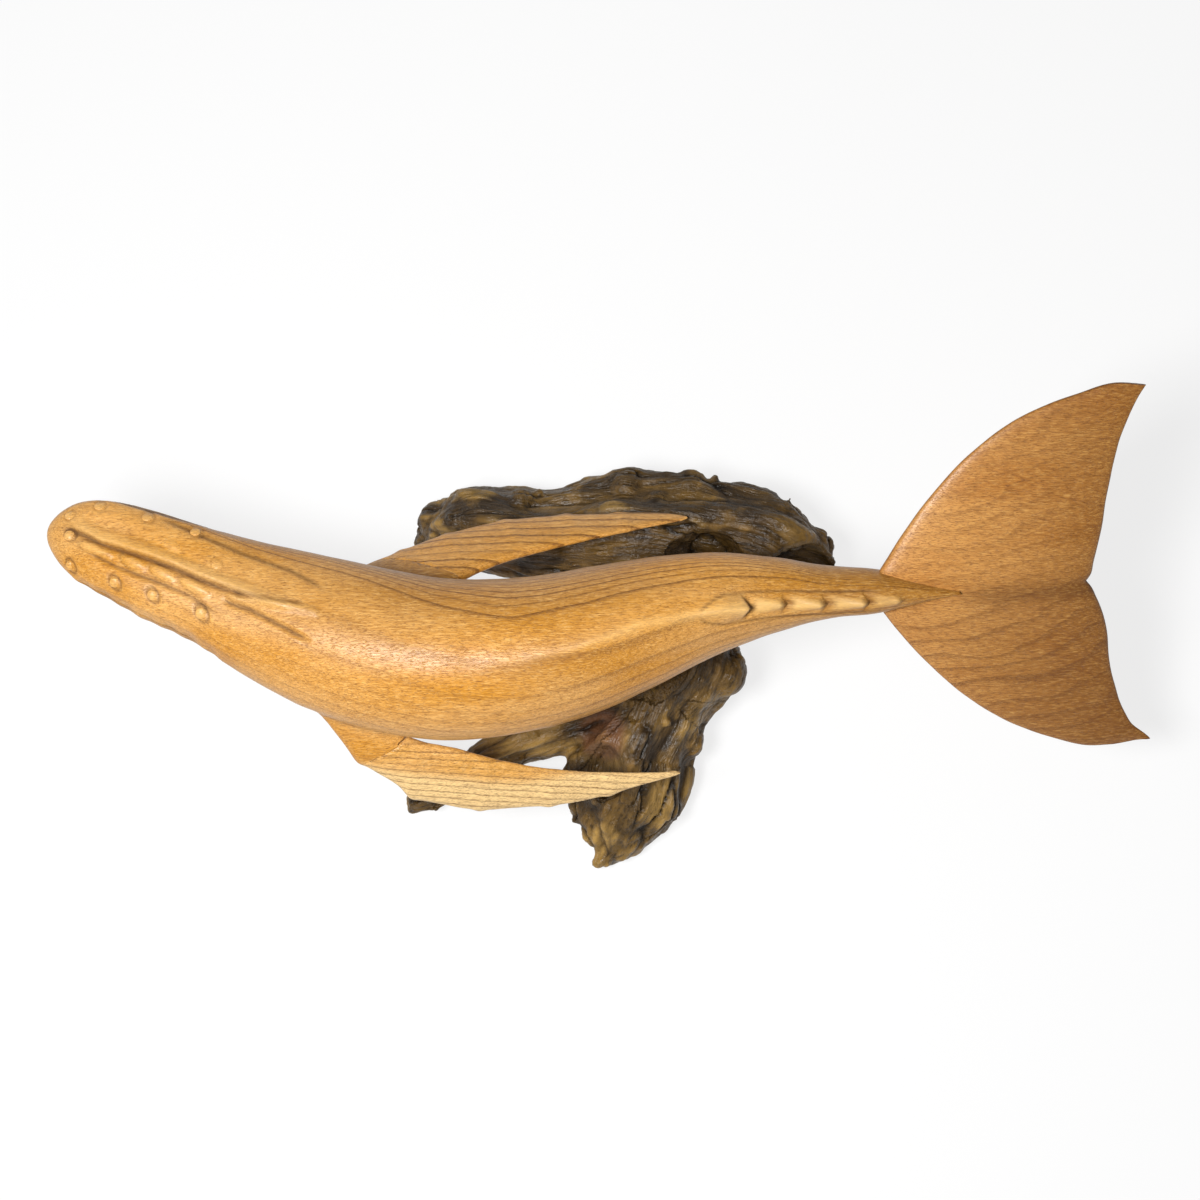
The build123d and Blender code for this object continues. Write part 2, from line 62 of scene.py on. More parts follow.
# Body stations as shares of those sizes: along, sway, rise, half width, back, belly, roll
BODY_SHARES = np.array([
    (-0.002, 1.003, 1.004, 0.000, 0.000, 0.000, 0.00),
    (-0.001, 1.001, 1.002, 0.080, 0.053, 0.057, 0.00),
    (0.005, 0.991, 0.989, 0.212, 0.140, 0.150, 0.00),
    (0.016, 0.971, 0.965, 0.356, 0.222, 0.252, 0.00),
    (0.037, 0.940, 0.920, 0.508, 0.306, 0.355, 0.00),
    (0.063, 0.889, 0.870, 0.602, 0.364, 0.444, 0.00),
    (0.106, 0.770, 0.770, 0.672, 0.450, 0.560, 0.00),
    (0.160, 0.615, 0.580, 0.725, 0.550, 0.680, 0.00),
    (0.215, 0.425, 0.390, 0.830, 0.660, 0.790, 0.00),
    (0.281, 0.243, 0.230, 0.940, 0.800, 0.900, 0.00),
    (0.347, 0.105, 0.110, 0.990, 0.900, 0.970, 0.05),
    (0.440, 0.000, 0.000, 0.970, 0.975, 1.025, 0.22),
    (0.528, 0.045, 0.025, 0.930, 0.970, 1.000, 0.38),
    (0.605, 0.173, 0.080, 0.880, 0.915, 0.930, 0.45),
    (0.670, 0.322, 0.180, 0.770, 0.805, 0.790, 0.47),
    (0.736, 0.455, 0.360, 0.610, 0.665, 0.610, 0.52),
    (0.802, 0.520, 0.540, 0.440, 0.510, 0.465, 0.72),
    (0.857, 0.538, 0.640, 0.305, 0.415, 0.380, 0.94),
    (0.912, 0.542, 0.730, 0.245, 0.345, 0.320, 1.00),
    (0.955, 0.554, 0.746, 0.135, 0.280, 0.250, 1.00),
    (0.998, 0.568, 0.762, 0.018, 0.215, 0.190, 1.00),
])
# The same stations over the root of the distance from the tip, which keeps the nose round
BODY_CURVE = BODY_SHARES.copy()
BODY_CURVE[:, 0] = np.sqrt(BODY_SHARES[:, 0] - BODY_SHARES[0, 0])
# Flippers in millimetres, then stations as shares: along, leading and trailing edge, thickness
CHORD, BLADE, CURL = 38.0, 9.0, 7.0
LEFT_EDGES = np.array([
    (-0.090, -0.200, -0.460, 0.80), (-0.040, 0.010, -0.440, 0.90), (0.000, 0.200, -0.400, 0.97),
    (0.054, 0.455, -0.330, 1.00), (0.115, 0.600, -0.200, 1.00), (0.180, 0.740, 0.040, 0.96),
    (0.230, 0.905, 0.110, 0.91), (0.285, 0.936, 0.130, 0.86), (0.340, 0.958, 0.152, 0.81),
    (0.400, 0.976, 0.202, 0.76), (0.460, 0.954, 0.245, 0.71), (0.520, 0.902, 0.272, 0.66),
    (0.580, 0.850, 0.288, 0.61), (0.637, 0.800, 0.290, 0.57), (0.705, 0.720, 0.284, 0.51),
    (0.766, 0.622, 0.264, 0.46), (0.826, 0.510, 0.242, 0.39), (0.886, 0.386, 0.216, 0.32),
    (0.940, 0.280, 0.186, 0.25), (0.980, 0.205, 0.150, 0.18), (0.990, 0.182, 0.160, 0.10),
])
RIGHT_EDGES = np.array([
    (-0.200, 0.400, -0.480, 0.74), (-0.120, 0.740, -0.460, 0.84), (-0.050, 0.838, -0.430, 0.93),
    (0.000, 0.866, -0.395, 0.98), (0.054, 0.893, -0.330, 1.00), (0.115, 0.936, -0.170, 1.00),
    (0.180, 0.972, 0.010, 0.96), (0.230, 0.984, 0.074, 0.91), (0.285, 0.992, 0.124, 0.86),
    (0.340, 0.998, 0.166, 0.81), (0.400, 0.992, 0.192, 0.76), (0.460, 0.954, 0.197, 0.71),
    (0.520, 0.904, 0.200, 0.66), (0.580, 0.846, 0.205, 0.61), (0.637, 0.786, 0.208, 0.57),
    (0.705, 0.702, 0.200, 0.51), (0.766, 0.626, 0.194, 0.46), (0.826, 0.556, 0.195, 0.39),
    (0.886, 0.484, 0.196, 0.32), (0.940, 0.400, 0.190, 0.25), (0.985, 0.300, 0.184, 0.18),
    (1.005, 0.240, 0.205, 0.10),
])
# Knobs on the leading edge: shares of the length, half length in millimetres, swelling of the thickness
KNOB_PLACES, KNOB_REACH, KNOB_SWELL = (0.058, 0.225, 0.430, 0.632, 0.800), 3.2, 0.10
# Ends of the glue face: share of the length, share of the chord
GLUE_LEAD, GLUE_TRAIL = (0.057, 0.550), (0.186, 0.075)
# Each flipper: side, length, root along the body, root over the half width, spread in degrees, edges
Pose = namedtuple("Pose", "side length along out spread edges")
LEFT_POSE = Pose(-1, 160.0, 0.320, 1.000, 6.3, LEFT_EDGES)
RIGHT_POSE = Pose(1, 142.0, 0.385, 0.760, 18.5, RIGHT_EDGES)
# Flipper roots: share of the half height below the spine, then two angles in degrees
ROOT_DOWN, DROOP, DIP = 0.400, 40.0, 9.0
# Lobe stations, shares: across the span, trailing edge over the reach, thickness. The leading edge is
# one curve: it leaves the splice at a share of the span, and ends at a share of the reach.
SPAN, REACH, FLUKE_BLADE, LOBE_DROOP, SKEW, YAW = 88.0, 121.0, 12.0, 8.0, 4.0, 3.0
LEAD_START, LEAD_END, LEAD_POWER = 0.108, 0.985, 0.408
LOBE_SHARES = np.array([
    (0.000, 0.766, 1.00), (0.030, 0.782, 0.98), (0.108, 0.797, 0.92), (0.270, 0.826, 0.78),
    (0.450, 0.850, 0.64), (0.620, 0.879, 0.52), (0.770, 0.912, 0.42), (0.890, 0.954, 0.34),
    (0.965, 0.986, 0.27), (1.000, 1.003, 0.16),
])
# Growth lines of the fluke: waves as height, then noise; slant, spacing in millimetres
FLUKE_WAVES, FLUKE_SLANT, FLUKE_SPACING = [(16.0, (60.0, 30.0, 8)), (5.0, (30.0, 9.0, 9))], 0.22, 7.5
# Fluke: painted shade on rim and seam, and more painted shade towards the trailing edge, near lobe and seam
RIM_DARK, SEAM_DARK = 0.40, 0.22
REACH_SHADE, NEAR_SHADE, SEAM_SHADE = 0.75, 0.22, 0.30
# Dents of hand work: feature size in millimetres and seed on flippers and fluke
FLIPPER_DENTS, FLUKE_DENTS = (9.0, 5), (12.0, 6)
# Fluke tips in millimetres: fullness of the far and near tip, hook of the near one, swelling of its lobe
FAR_FULL, NEAR_FULL, HOOK_IN, HOOK_BACK, LOBE_SWELL = 2.6, 1.4, 2.0, 2.6, 2.2
# Middle of the tail splice as shares: along the body, sway, rise
SPLICE = (0.912, 0.542, 0.730)
# Points round each skin, the share where a blade's tip starts, and points this near in millimetres are one
BODY_AROUND, FLIPPER_AROUND, FLUKE_AROUND = 160, 56, 64
TIP_START = 0.9
SKIN_WELD, ROOT_WELD = 0.02, 0.01
FAR_AWAY, TINY = 1e9, 1e-9
# Seam round a shoulder: how near the body's skin it lies, as a share, and rounds of easing
SEAM_BAND, SEAM_ROUNDS = 0.05, 24
# Rounds of easing after the root and its burrs are melted together
FUSE_ROUNDS = 3


# Numbers and curves

def curve(table, places):
    """Smooth curve through the rows of a table, whose first column is the place."""
    x, y = table[:, 0], table[:, 1:]
    slope = np.gradient(y, x, axis=0)
    places = np.clip(np.asarray(places, float), x[0], x[-1])
    low = np.clip(np.searchsorted(x, places, side="right") - 1, 0, len(x) - 2)
    span = (x[low + 1] - x[low])[:, None]
    t = ((places - x[low]) / span[:, 0])[:, None]
    a, b = y[low], y[low + 1]
    return (a * (2 * t**3 - 3 * t**2 + 1) + b * (3 * t**2 - 2 * t**3)
            + span * (slope[low] * (t**3 - 2 * t**2 + t) + slope[low + 1] * (t**3 - t**2)))


def away(points, centre):
    """Distance of each point from a centre."""
    return np.linalg.norm(points - np.asarray(centre), axis=1)


def step(low, high, value):
    """Smooth step from 0 at low to 1 at high."""
    t = np.clip((value - low) / (high - low), 0, 1)
    return t * t * (3 - 2 * t)


def bell(distance, width):
    """Round hill, 1 in the middle."""
    return np.exp(-(distance / width) ** 2)


def roof(distance, width):
    """Straight-sided ridge, 1 in the middle and 0 from the width outwards."""
    return np.maximum(1 - np.abs(distance) / width, 0)


def ripple(points, seed):
    """Smooth gradient noise, about -0.7 to 0.7, with a feature size of one unit."""
    rng = np.random.default_rng(seed)
    order = rng.permutation(256)
    slopes = rng.normal(size=(256, 3))
    slopes /= np.linalg.norm(slopes, axis=1)[:, None]
    cell = np.floor(points).astype(int)
    part = points - cell
    fade = part**3 * (part * (part * 6 - 15) + 10)
    total = np.zeros(len(points))
    for corner in np.ndindex(2, 2, 2):
        spot = (cell + corner) % 256
        pick = order[(order[(order[spot[:, 0]] + spot[:, 1]) % 256] + spot[:, 2]) % 256]
        weight = np.prod(np.where(corner, fade, 1 - fade), axis=1)
        total += weight * np.sum(slopes[pick] * (part - corner), axis=1)
    return total


def long_ripple(points, noise):
    """Noise with a feature size along the first axis, another across it, and a seed."""
    along, across, seed = noise
    return ripple(points / [along, across, across], seed)


# Meshes

def new_object(name, mesh):
    piece = bpy.data.objects.new(name, mesh)
    bpy.context.scene.collection.objects.link(piece)
    return piece


def new_mesh(name, points, faces):
    """Mesh object from points in millimetres."""
    mesh = bpy.data.meshes.new(name)
    mesh.from_pydata((np.asarray(points) * MM).tolist(), [], faces)
    mesh.validate()
    return new_object(name, mesh)


@contextmanager
def editing(piece):
    """Open a piece's mesh for editing, and store the result."""
    edit = bmesh.new()
    edit.from_mesh(piece.data)
    yield edit
    edit.to_mesh(piece.data)
    edit.free()


def tube(name, rings):
    """Closed skin through rings of points, ends filled with a fan."""
    count, around = rings.shape[:2]
    points = np.vstack([rings.reshape(-1, 3), rings[0].mean(0), rings[-1].mean(0)])
    first, last = len(points) - 2, len(points) - 1
    faces = []
    for i in range(count - 1):
        for k in range(around):
            n = (k + 1) % around
            faces.append((i * around + k, i * around + n, (i + 1) * around + n, (i + 1) * around + k))
    for k in range(around):
        n = (k + 1) % around
        faces.append((first, n, k))
        faces.append((last, (count - 1) * around + k, (count - 1) * around + n))
    piece = new_mesh(name, points, faces)
    with editing(piece) as edit:
        bmesh.ops.remove_doubles(edit, verts=edit.verts, dist=SKIN_WELD * MM)
        bmesh.ops.recalc_face_normals(edit, faces=edit.faces)
    return piece


def slice_off(piece, origin, normal):
    """Cut away the side the normal points to and close the cut. Millimetres."""
    with editing(piece) as edit:
        parts = edit.verts[:] + edit.edges[:] + edit.faces[:]
        bmesh.ops.bisect_plane(edit, geom=parts, plane_co=Vector(origin) * MM, plane_no=Vector(normal),
                               clear_outer=True)
        rim = [edge for edge in edit.edges if edge.is_boundary]
        bmesh.ops.holes_fill(edit, edges=rim)
        bmesh.ops.recalc_face_normals(edit, faces=edit.faces)


def bake(piece):
    """Apply every modifier of a piece."""
    graph = bpy.context.evaluated_depsgraph_get()
    mesh = bpy.data.meshes.new_from_object(piece.evaluated_get(graph))
    piece.modifiers.clear()
    old, piece.data = piece.data, mesh
    bpy.data.meshes.remove(old)


def join(pieces, name):
    """Join meshes into the first piece."""
    with editing(pieces[0]) as edit:
        for piece in pieces[1:]:
            edit.from_mesh(piece.data)
    for piece in pieces[1:]:
        bpy.data.objects.remove(piece)
    pieces[0].name = name
    return pieces[0]


def fuse(piece, grid_mm, rounds):
    """Melt overlapping skins into one even skin, then ease its edges."""
    remesh = piece.modifiers.new("fuse", "REMESH")
    remesh.mode = "VOXEL"
    remesh.voxel_size = grid_mm * MM
    ease = piece.modifiers.new("ease", "SMOOTH")
    ease.factor = 0.5
    ease.iterations = rounds
    bake(piece)


def unite(piece, others):
    """Join closed skins where they cross, and drop the pieces that went in."""
    for other in others:
        union = piece.modifiers.new("unite", "BOOLEAN")
        union.operation = "UNION"
        union.solver = "EXACT"
        union.object = other
    bake(piece)
    for other in others:
        bpy.data.objects.remove(other)


def ease_near(piece, spots, reach_mm, rounds):
    """Round off the skin near a list of points in millimetres."""
    tree = KDTree(len(spots))
    for index, spot in enumerate(spots):
        tree.insert(Vector(spot) * MM, index)
    tree.balance()
    with editing(piece) as edit:
        near = [vert for vert in edit.verts if tree.find(vert.co)[2] < reach_mm * MM]
        for _ in range(rounds):
            bmesh.ops.smooth_vert(edit, verts=near, factor=0.5,
                                  use_axis_x=True, use_axis_y=True, use_axis_z=True)


def read(piece):
    """Points in millimetres and unit normals of a piece."""
    count = len(piece.data.vertices)
    points, normals = np.empty(count * 3), np.empty(count * 3)
    piece.data.vertices.foreach_get("co", points)
    piece.data.vertex_normals.foreach_get("vector", normals)
    return points.reshape(-1, 3) / MM, normals.reshape(-1, 3)


def write(piece, points):
    """Move the points of a piece to new places in millimetres."""
    piece.data.vertices.foreach_set("co", (points * MM).ravel())
    piece.data.update()


def dent(piece, depth_mm, dents):
    """Make a skin uneven, as hand tools do, and give its points and normals from before."""
    size, seed = dents
    points, normals = read(piece)
    write(piece, points + normals * (depth_mm * ripple(points / size, seed))[:, None])
    return points, normals


def paint(piece, name, values):
    """Store one number per point for the material to read."""
    layer = piece.data.attributes.new(name, "FLOAT", "POINT")
    layer.data.foreach_set("value", np.asarray(values, float))


def paint_vectors(piece, name, values):
    """Store one direction or place per point."""
    layer = piece.data.attributes.new(name, "FLOAT_VECTOR", "POINT")
    layer.data.foreach_set("vector", values.ravel())


def dress(piece, material, node):
    """Give a finished piece its material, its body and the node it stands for."""
    piece.data.materials.clear()
    piece.data.materials.append(material)
    piece.data.shade_smooth()
    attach(piece, BODY)
    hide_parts(node)


# Geometry nodes

def put(tree, kind, links=None, **settings):
    """Add one node, set it up, and fill or link its inputs."""
    node = tree.nodes.new(kind)
    for key, value in settings.items():
        setattr(node, key, value)
    for socket, value in (links or {}).items():
        if isinstance(value, bpy.types.NodeSocket):
            tree.links.new(value, node.inputs[socket])
        else:
            node.inputs[socket].default_value = value
    return node


def node_group(name, sockets):
    """Empty geometry tree with a mesh in, a mesh out and named number inputs."""
    tree = bpy.data.node_groups.new(name, "GeometryNodeTree")
    tree.interface.new_socket("Geometry", in_out="INPUT", socket_type="NodeSocketGeometry")
    for label, kind in sockets:
        tree.interface.new_socket(label, in_out="INPUT", socket_type=kind)
    tree.interface.new_socket("Geometry", in_out="OUTPUT", socket_type="NodeSocketGeometry")
    return tree


def finish_group(tree, instances, material):
    """End a geometry tree with real meshes of one material."""
    real = put(tree, "GeometryNodeRealizeInstances", {"Geometry": instances})
    dyed = put(tree, "GeometryNodeSetMaterial", {"Geometry": real.outputs[0], "Material": material})
    put(tree, "NodeGroupOutput", {0: dyed.outputs[0]})


def run_group(piece, tree, values):
    """Run a geometry tree on a piece with its inputs set by name, and keep the result."""
    modifier = piece.modifiers.new(tree.name, "NODES")
    modifier.node_group = tree
    for item in tree.interface.items_tree:
        if item.in_out == "INPUT" and item.name in values:
            modifier[item.identifier] = values[item.name]
    bake(piece)


def knob_group(material):
    """A flat dome on every point, turned to the point's stored outward direction."""
    tree = node_group("Head knobs", [("Dome height", "NodeSocketFloat")])
    source = put(tree, "NodeGroupInput")
    dots = put(tree, "GeometryNodeMeshToPoints", {"Mesh": source.outputs["Geometry"]})
    ball = put(tree, "GeometryNodeMeshIcoSphere", {"Radius": 1.0, "Subdivisions": 3})
    out = put(tree, "GeometryNodeInputNamedAttribute", {"Name": "out"}, data_type="FLOAT_VECTOR")
    size = put(tree, "GeometryNodeInputNamedAttribute", {"Name": "size"}, data_type="FLOAT")
    turn = put(tree, "FunctionNodeAlignRotationToVector", {"Vector": out.outputs[0]}, axis="Z")
    tall = put(tree, "ShaderNodeMath", {0: size.outputs[0], 1: source.outputs["Dome height"]},
               operation="MULTIPLY")
    shape = put(tree, "ShaderNodeCombineXYZ",
                {"X": size.outputs[0], "Y": size.outputs[0], "Z": tall.outputs[0]})
    domes = put(tree, "GeometryNodeInstanceOnPoints",
                {"Points": dots.outputs[0], "Instance": ball.outputs[0],
                 "Rotation": turn.outputs[0], "Scale": shape.outputs[0]})
    finish_group(tree, domes.outputs[0], material)
    return tree


def burr_group(material):
    """Small burrs scattered over the root's skin."""
    tree = node_group("Root burrs", [("Density", "NodeSocketFloat"), ("Smallest", "NodeSocketFloat"),
                                     ("Largest", "NodeSocketFloat"), ("Lowest", "NodeSocketFloat"),
                                     ("Highest", "NodeSocketFloat"), ("Seed", "NodeSocketInt")])
    source = put(tree, "NodeGroupInput")
    place = put(tree, "GeometryNodeInputPosition")
    high = put(tree, "ShaderNodeSeparateXYZ", {0: place.outputs[0]})
    above = put(tree, "FunctionNodeCompare", {0: high.outputs["Z"], 1: source.outputs["Lowest"]},
                operation="GREATER_THAN")
    below = put(tree, "FunctionNodeCompare", {0: high.outputs["Z"], 1: source.outputs["Highest"]},
                operation="LESS_THAN")
    both = put(tree, "FunctionNodeBooleanMath", {0: above.outputs[0], 1: below.outputs[0]})
    dots = put(tree, "GeometryNodeDistributePointsOnFaces",
               {"Mesh": source.outputs["Geometry"], "Selection": both.outputs[0],
                "Density": source.outputs["Density"], "Seed": source.outputs["Seed"]})
    ball = put(tree, "GeometryNodeMeshIcoSphere", {"Radius": 1.0, "Subdivisions": 3})
    size = put(tree, "FunctionNodeRandomValue",
               {"Min": source.outputs["Smallest"], "Max": source.outputs["Largest"],
                "Seed": source.outputs["Seed"]}, data_type="FLOAT")
    burrs = put(tree, "GeometryNodeInstanceOnPoints",
                {"Points": dots.outputs["Points"], "Instance": ball.outputs[0],
                 "Scale": size.outputs["Value"]})
    finish_group(tree, burrs.outputs[0], material)
    return tree


# Materials

# Patterns of the wood and of the root: size along and across the fibre in millimetres, detail
WOOD_PATTERNS = {"wave": (60, 12, 3.0), "pore": (2.0, 0.24, 1.0), "mottle": (3.6, 1.3, 4.0),
                 "tone": (90, 26, 3.0)}
FLECK_WIDTH, FLECK_DETAIL = 0.50, 4.0
ROOT_PATTERNS = {"broad": (30, 24, 4.0), "speck": (2.2, 2.2, 3.0), "patch": (15, 15, 3.0)}
ROOT_FIBRES = {"fibre": (16, 1.2, 4.0)}
# Sums of the wood, as work_out reads them: growth rings, then their dotted lines, tones, relief and sheen
RING_SUMS = [
    ("layer", "MULTIPLY_ADD", "wave", 0.5, "ring"),
    ("number", "FLOOR", "layer"),
    ("part", "FRACT", "layer"),
]
WOOD_SUMS = [
    ("rising", "SMOOTHSTEP", "part", 0.64, 0.94),
    ("falling", "SMOOTHSTEP", "part", 1.0, 0.96),
    ("band", "MULTIPLY", "rising", "falling"),
    ("weight", "MULTIPLY_ADD", "chance", 0.60, 0.45),
    ("shown", "MULTIPLY", "weight", "lines"),
    ("dotted", "SMOOTHSTEP", "pore", 0.35, 0.60, 0.50, 1.0),
    ("whole_line", "MULTIPLY", "band", "shown"),
    ("line", "MULTIPLY", "whole_line", "dotted"),
    ("crowded", "MULTIPLY_ADD", "line", 0.10, "pore"),
    ("dashes", "SMOOTHSTEP", "crowded", 0.56, 0.66),
    ("dark_dashes", "MULTIPLY", "dashes", 0.60),
    ("warmth", "SMOOTHSTEP", "tone", 0.32, 0.68),
    ("late_wood", "POWER", "part", 2.0),
    ("dark_bands", "MULTIPLY", "late_wood", "bands"),
    ("dark_fibre", "SMOOTHSTEP", "fibre", 0.48, 0.72, 0.0, 0.48),
    # pale flecks on the fibres, painted in as glint
    ("light_fibre", "SMOOTHSTEP", "fibre", 0.50, 0.28, 0.0, "painted_glints"),
    ("light_mottle", "SMOOTHSTEP", "mottle", 0.52, 0.76, 0.0, 0.24),
    ("dark_mottle", "SMOOTHSTEP", "mottle", 0.46, 0.26, 0.0, 0.24),
    ("low_fibre", "MULTIPLY", "fibre", 0.5),
    ("height", "SUBTRACT", "low_fibre", "dashes"),
    ("sheen", "MULTIPLY_ADD", "fibre", 0.20, 0.29),
    ("roughness", "MULTIPLY_ADD", "groove", 0.45, "sheen"),
]
SAP_SUMS = [
    ("sap_edge", "MULTIPLY_ADD", "fibre", 0.5, "sap"),
    ("sap_strip", "SMOOTHSTEP", "sap_edge", 0.45, 1.05),
]
ROOT_SUMS = [
    ("lightness", "SMOOTHSTEP", "broad", 0.35, 0.66),
    ("dark_fibre", "SMOOTHSTEP", "fibre", 0.45, 0.72, 0.0, 0.70),
    ("light_patch", "SMOOTHSTEP", "patch", 0.54, 0.68, 0.0, 0.50),
    # humps and near arm painted lighter: partly wear, partly painted highlight
    ("pale_wear_and_highlight", "MULTIPLY", "worn", 0.45),
    ("height", "MULTIPLY_ADD", "fibre", 1.6, "speck"),
    ("roughness", "MULTIPLY_ADD", "speck", 0.35, 0.18),
]
# Brown of painted shade, with some stain, laid in cuts, recesses and on sides turned from the light
SHADE_AND_STAIN_BROWN = "#3A1F0A"
# Fine relief in millimetres and gloss of the oiled wood and of the varnished root
WOOD_RELIEF, WOOD_GLOSS = 0.045, 0.32
ROOT_RELIEF, ROOT_GLOSS = 0.6, 0.28


def colour(code):
    """Linear colour from an sRGB hex code."""
    parts = [int(code[k:k + 2], 16) / 255 for k in (1, 3, 5)]
    return [p / 12.92 if p <= 0.04045 else ((p + 0.055) / 1.055) ** 2.4 for p in parts] + [1.0]


def start_material(name):
    """New material with an empty tree."""
    material = bpy.data.materials.new(name)
    material.use_nodes = True
    material.node_tree.nodes.clear()
    return material, material.node_tree


def stored(tree, names):
    """Numbers that a piece keeps at each point."""
    return {name: put(tree, "ShaderNodeAttribute", attribute_name=name).outputs["Fac"] for name in names}


def patterns(tree, coords, sizes_mm, turn=(0, 0, 0)):
    """Noise of each real size, stretched along the fibre."""
    made = {}
    for name, (along, across, detail) in sizes_mm.items():
        scale = [1 / (size * MM) for size in (along, across, across)]
        place = put(tree, "ShaderNodeMapping", {"Vector": coords, "Rotation": turn, "Scale": scale})
        noise = put(tree, "ShaderNodeTexNoise",
                    {"Vector": place.outputs[0], "Scale": 1.0, "Detail": detail})
        made[name] = noise.outputs[0]
    return made


def work_out(tree, values, sums):
    """Add a table of sums: name, operation, then inputs that are numbers or names of earlier values."""
    for name, operation, *inputs in sums:
        links = {place: values.get(item, item) for place, item in enumerate(inputs)}
        if operation == "SMOOTHSTEP":
            node = put(tree, "ShaderNodeMapRange", links, interpolation_type=operation)
        else:
            node = put(tree, "ShaderNodeMath", links, operation=operation)
        values[name] = node.outputs[0]


def end_material(tree, values, base, layers, relief_mm, gloss):
    """Lay the named shares of other colours over a base, and close the tree with relief and one shader."""
    for share, tone in layers:
        mix = put(tree, "ShaderNodeMix", {0: values[share], 6: base, 7: tone}, data_type="RGBA")
        base = mix.outputs[2]
    bump = put(tree, "ShaderNodeBump",
               {"Height": values["height"], "Distance": relief_mm * MM, "Strength": 1.0})
    skin = put(tree, "ShaderNodeBsdfPrincipled",
               {"Base Color": base, "Roughness": values["roughness"], "Normal": bump.outputs[0],
                "Specular IOR Level": gloss})
    put(tree, "ShaderNodeOutputMaterial", {"Surface": skin.outputs[0]})


# Oil lies thin on open-pored hardwood: a satin sheen, dotted dark growth lines, painted glint on the
# fibres, painted highlight on crests and lit facets, and painted shade with some stain in the carved
# grooves
def carved_hardwood(name, pale, warm, tone_codes, turn, fleck_mm, bands, painted_glints, sap=None, far=None):
    """Oiled ring-porous hardwood: pores crowd in the growth lines that a piece stores as rings."""
    dark, line_brown, light = (colour(code) for code in tone_codes)
    _, tree = start_material(name)
    coords = put(tree, "ShaderNodeTexCoord").outputs["Object"]
    values = {"bands": bands, "painted_glints": painted_glints}
    values.update(stored(tree, ("ring", "lines", "cut", "groove")))
    values.update(patterns(tree, coords, WOOD_PATTERNS, turn))
    values.update(patterns(tree, coords, {"fibre": (fleck_mm, FLECK_WIDTH, FLECK_DETAIL)}, turn))
    work_out(tree, values, RING_SUMS)
    chance = put(tree, "ShaderNodeTexWhiteNoise", {"W": values["number"]}, noise_dimensions="1D")
    values["chance"] = chance.outputs[0]
    work_out(tree, values, WOOD_SUMS)
    layers = [("warmth", warm)]
    if sap:
        values.update(stored(tree, ["sap"]))
        work_out(tree, values, SAP_SUMS)
        layers.append(("sap_strip", colour(sap)))
    # painted shade: the far colour, laid where a piece stores how much less light falls on it
    if far:
        values.update(stored(tree, ["outer"]))
        layers.append(("outer", colour(far)))
    # the pale cut share is painted highlight, painted light on facets and paler knobs; the last is painted
    # shade with some stain
    layers += [
        ("dark_bands", dark), ("dark_fibre", dark), ("light_fibre", light), ("light_mottle", light),
        ("dark_mottle", dark), ("line", line_brown), ("dark_dashes", dark), ("cut", light),
        ("groove", colour(SHADE_AND_STAIN_BROWN)),
    ]
    end_material(tree, values, pale, layers, WOOD_RELIEF, WOOD_GLOSS)


# Varnish over weathered root: wet glint on the humps, which with the near arm are painted lighter, partly
# as wear and partly as painted highlight; dull brown between them, black cracks and painted shade in the
# hollows
def dark_varnished_root(name, dark, light):
    """Weathered root under thin dark varnish, black in its cracks, with the painted shade and highlight the
    root stores.
    """
    _, tree = start_material(name)
    coords = put(tree, "ShaderNodeTexCoord").outputs["Object"]
    flow = put(tree, "ShaderNodeAttribute", attribute_name="flow").outputs["Vector"]
    values = stored(tree, ("worn", "sawn", "groove"))
    values.update(patterns(tree, coords, ROOT_PATTERNS))
    values.update(patterns(tree, flow, ROOT_FIBRES))
    work_out(tree, values, ROOT_SUMS)
    # the pale wear colour is partly wear, partly painted highlight; the black is cracks and painted shade
    # in hollows
    layers = [
        ("lightness", light), ("dark_fibre", colour("#1A120A")), ("light_patch", colour("#96733A")),
        ("pale_wear_and_highlight", colour("#B8924E")), ("sawn", colour("#7C5038")), ("groove", colour("#0C0704")),
    ]
    end_material(tree, values, dark, layers, ROOT_RELIEF, ROOT_GLOSS)


# Body

def body_rows(along):
    """Spine point, half width, back, belly and roll at shares of the length, in millimetres."""
    rows = curve(BODY_CURVE, np.sqrt(np.clip(along - BODY_SHARES[0, 0], 0, None)))
    centre = np.stack([NOSE_X + LENGTH * np.clip(along, BODY_SHARES[0, 0], BODY_SHARES[-1, 0]),
                       LOW_Y + SWAY * rows[:, 0], LOW_Z + RISE * rows[:, 1]], axis=1)
    wide = np.maximum(rows[:, 2], 0.0) * WIDTH / 2
    back = np.maximum(rows[:, 3], 0.0) * HEIGHT / 2
    belly = np.maximum(rows[:, 4], 0.0) * HEIGHT / 2
    return centre, wide, back, belly, np.radians(rows[:, 5] * ROLL)


def skin_point(along, across):
    """Point and outward direction on the back at a share of the half width from the middle line."""
    centre, wide, back, _, roll = body_rows(np.array([along]))
    up = math.sqrt(max(1 - across * across, 0.0))
    turn = roll[0]
    offset = np.array([across * wide[0], up * back[0]])
    normal = np.array([across / wide[0], up / back[0]])
    spin = np.array([[math.cos(turn), -math.sin(turn)], [math.sin(turn), math.cos(turn)]])
    offset, normal = spin @ offset, spin @ normal
    point = centre[0] + np.array([0.0, offset[0], offset[1]])
    out = np.array([0.0, normal[0], normal[1]])
    return point, out / np.linalg.norm(out)


# Rings of the body's skin between the nose and the tip of the tail: first share, last share, spacing
BODY_RINGS = [(0.0175, 0.32, 0.00165), (0.322, 0.68, 0.0032), (0.682, 0.96, 0.0015)]
NOSE_REACH, NOSE_RINGS, TIP_SHARE, TIP_RINGS = 0.018, 24, 0.9612, 16


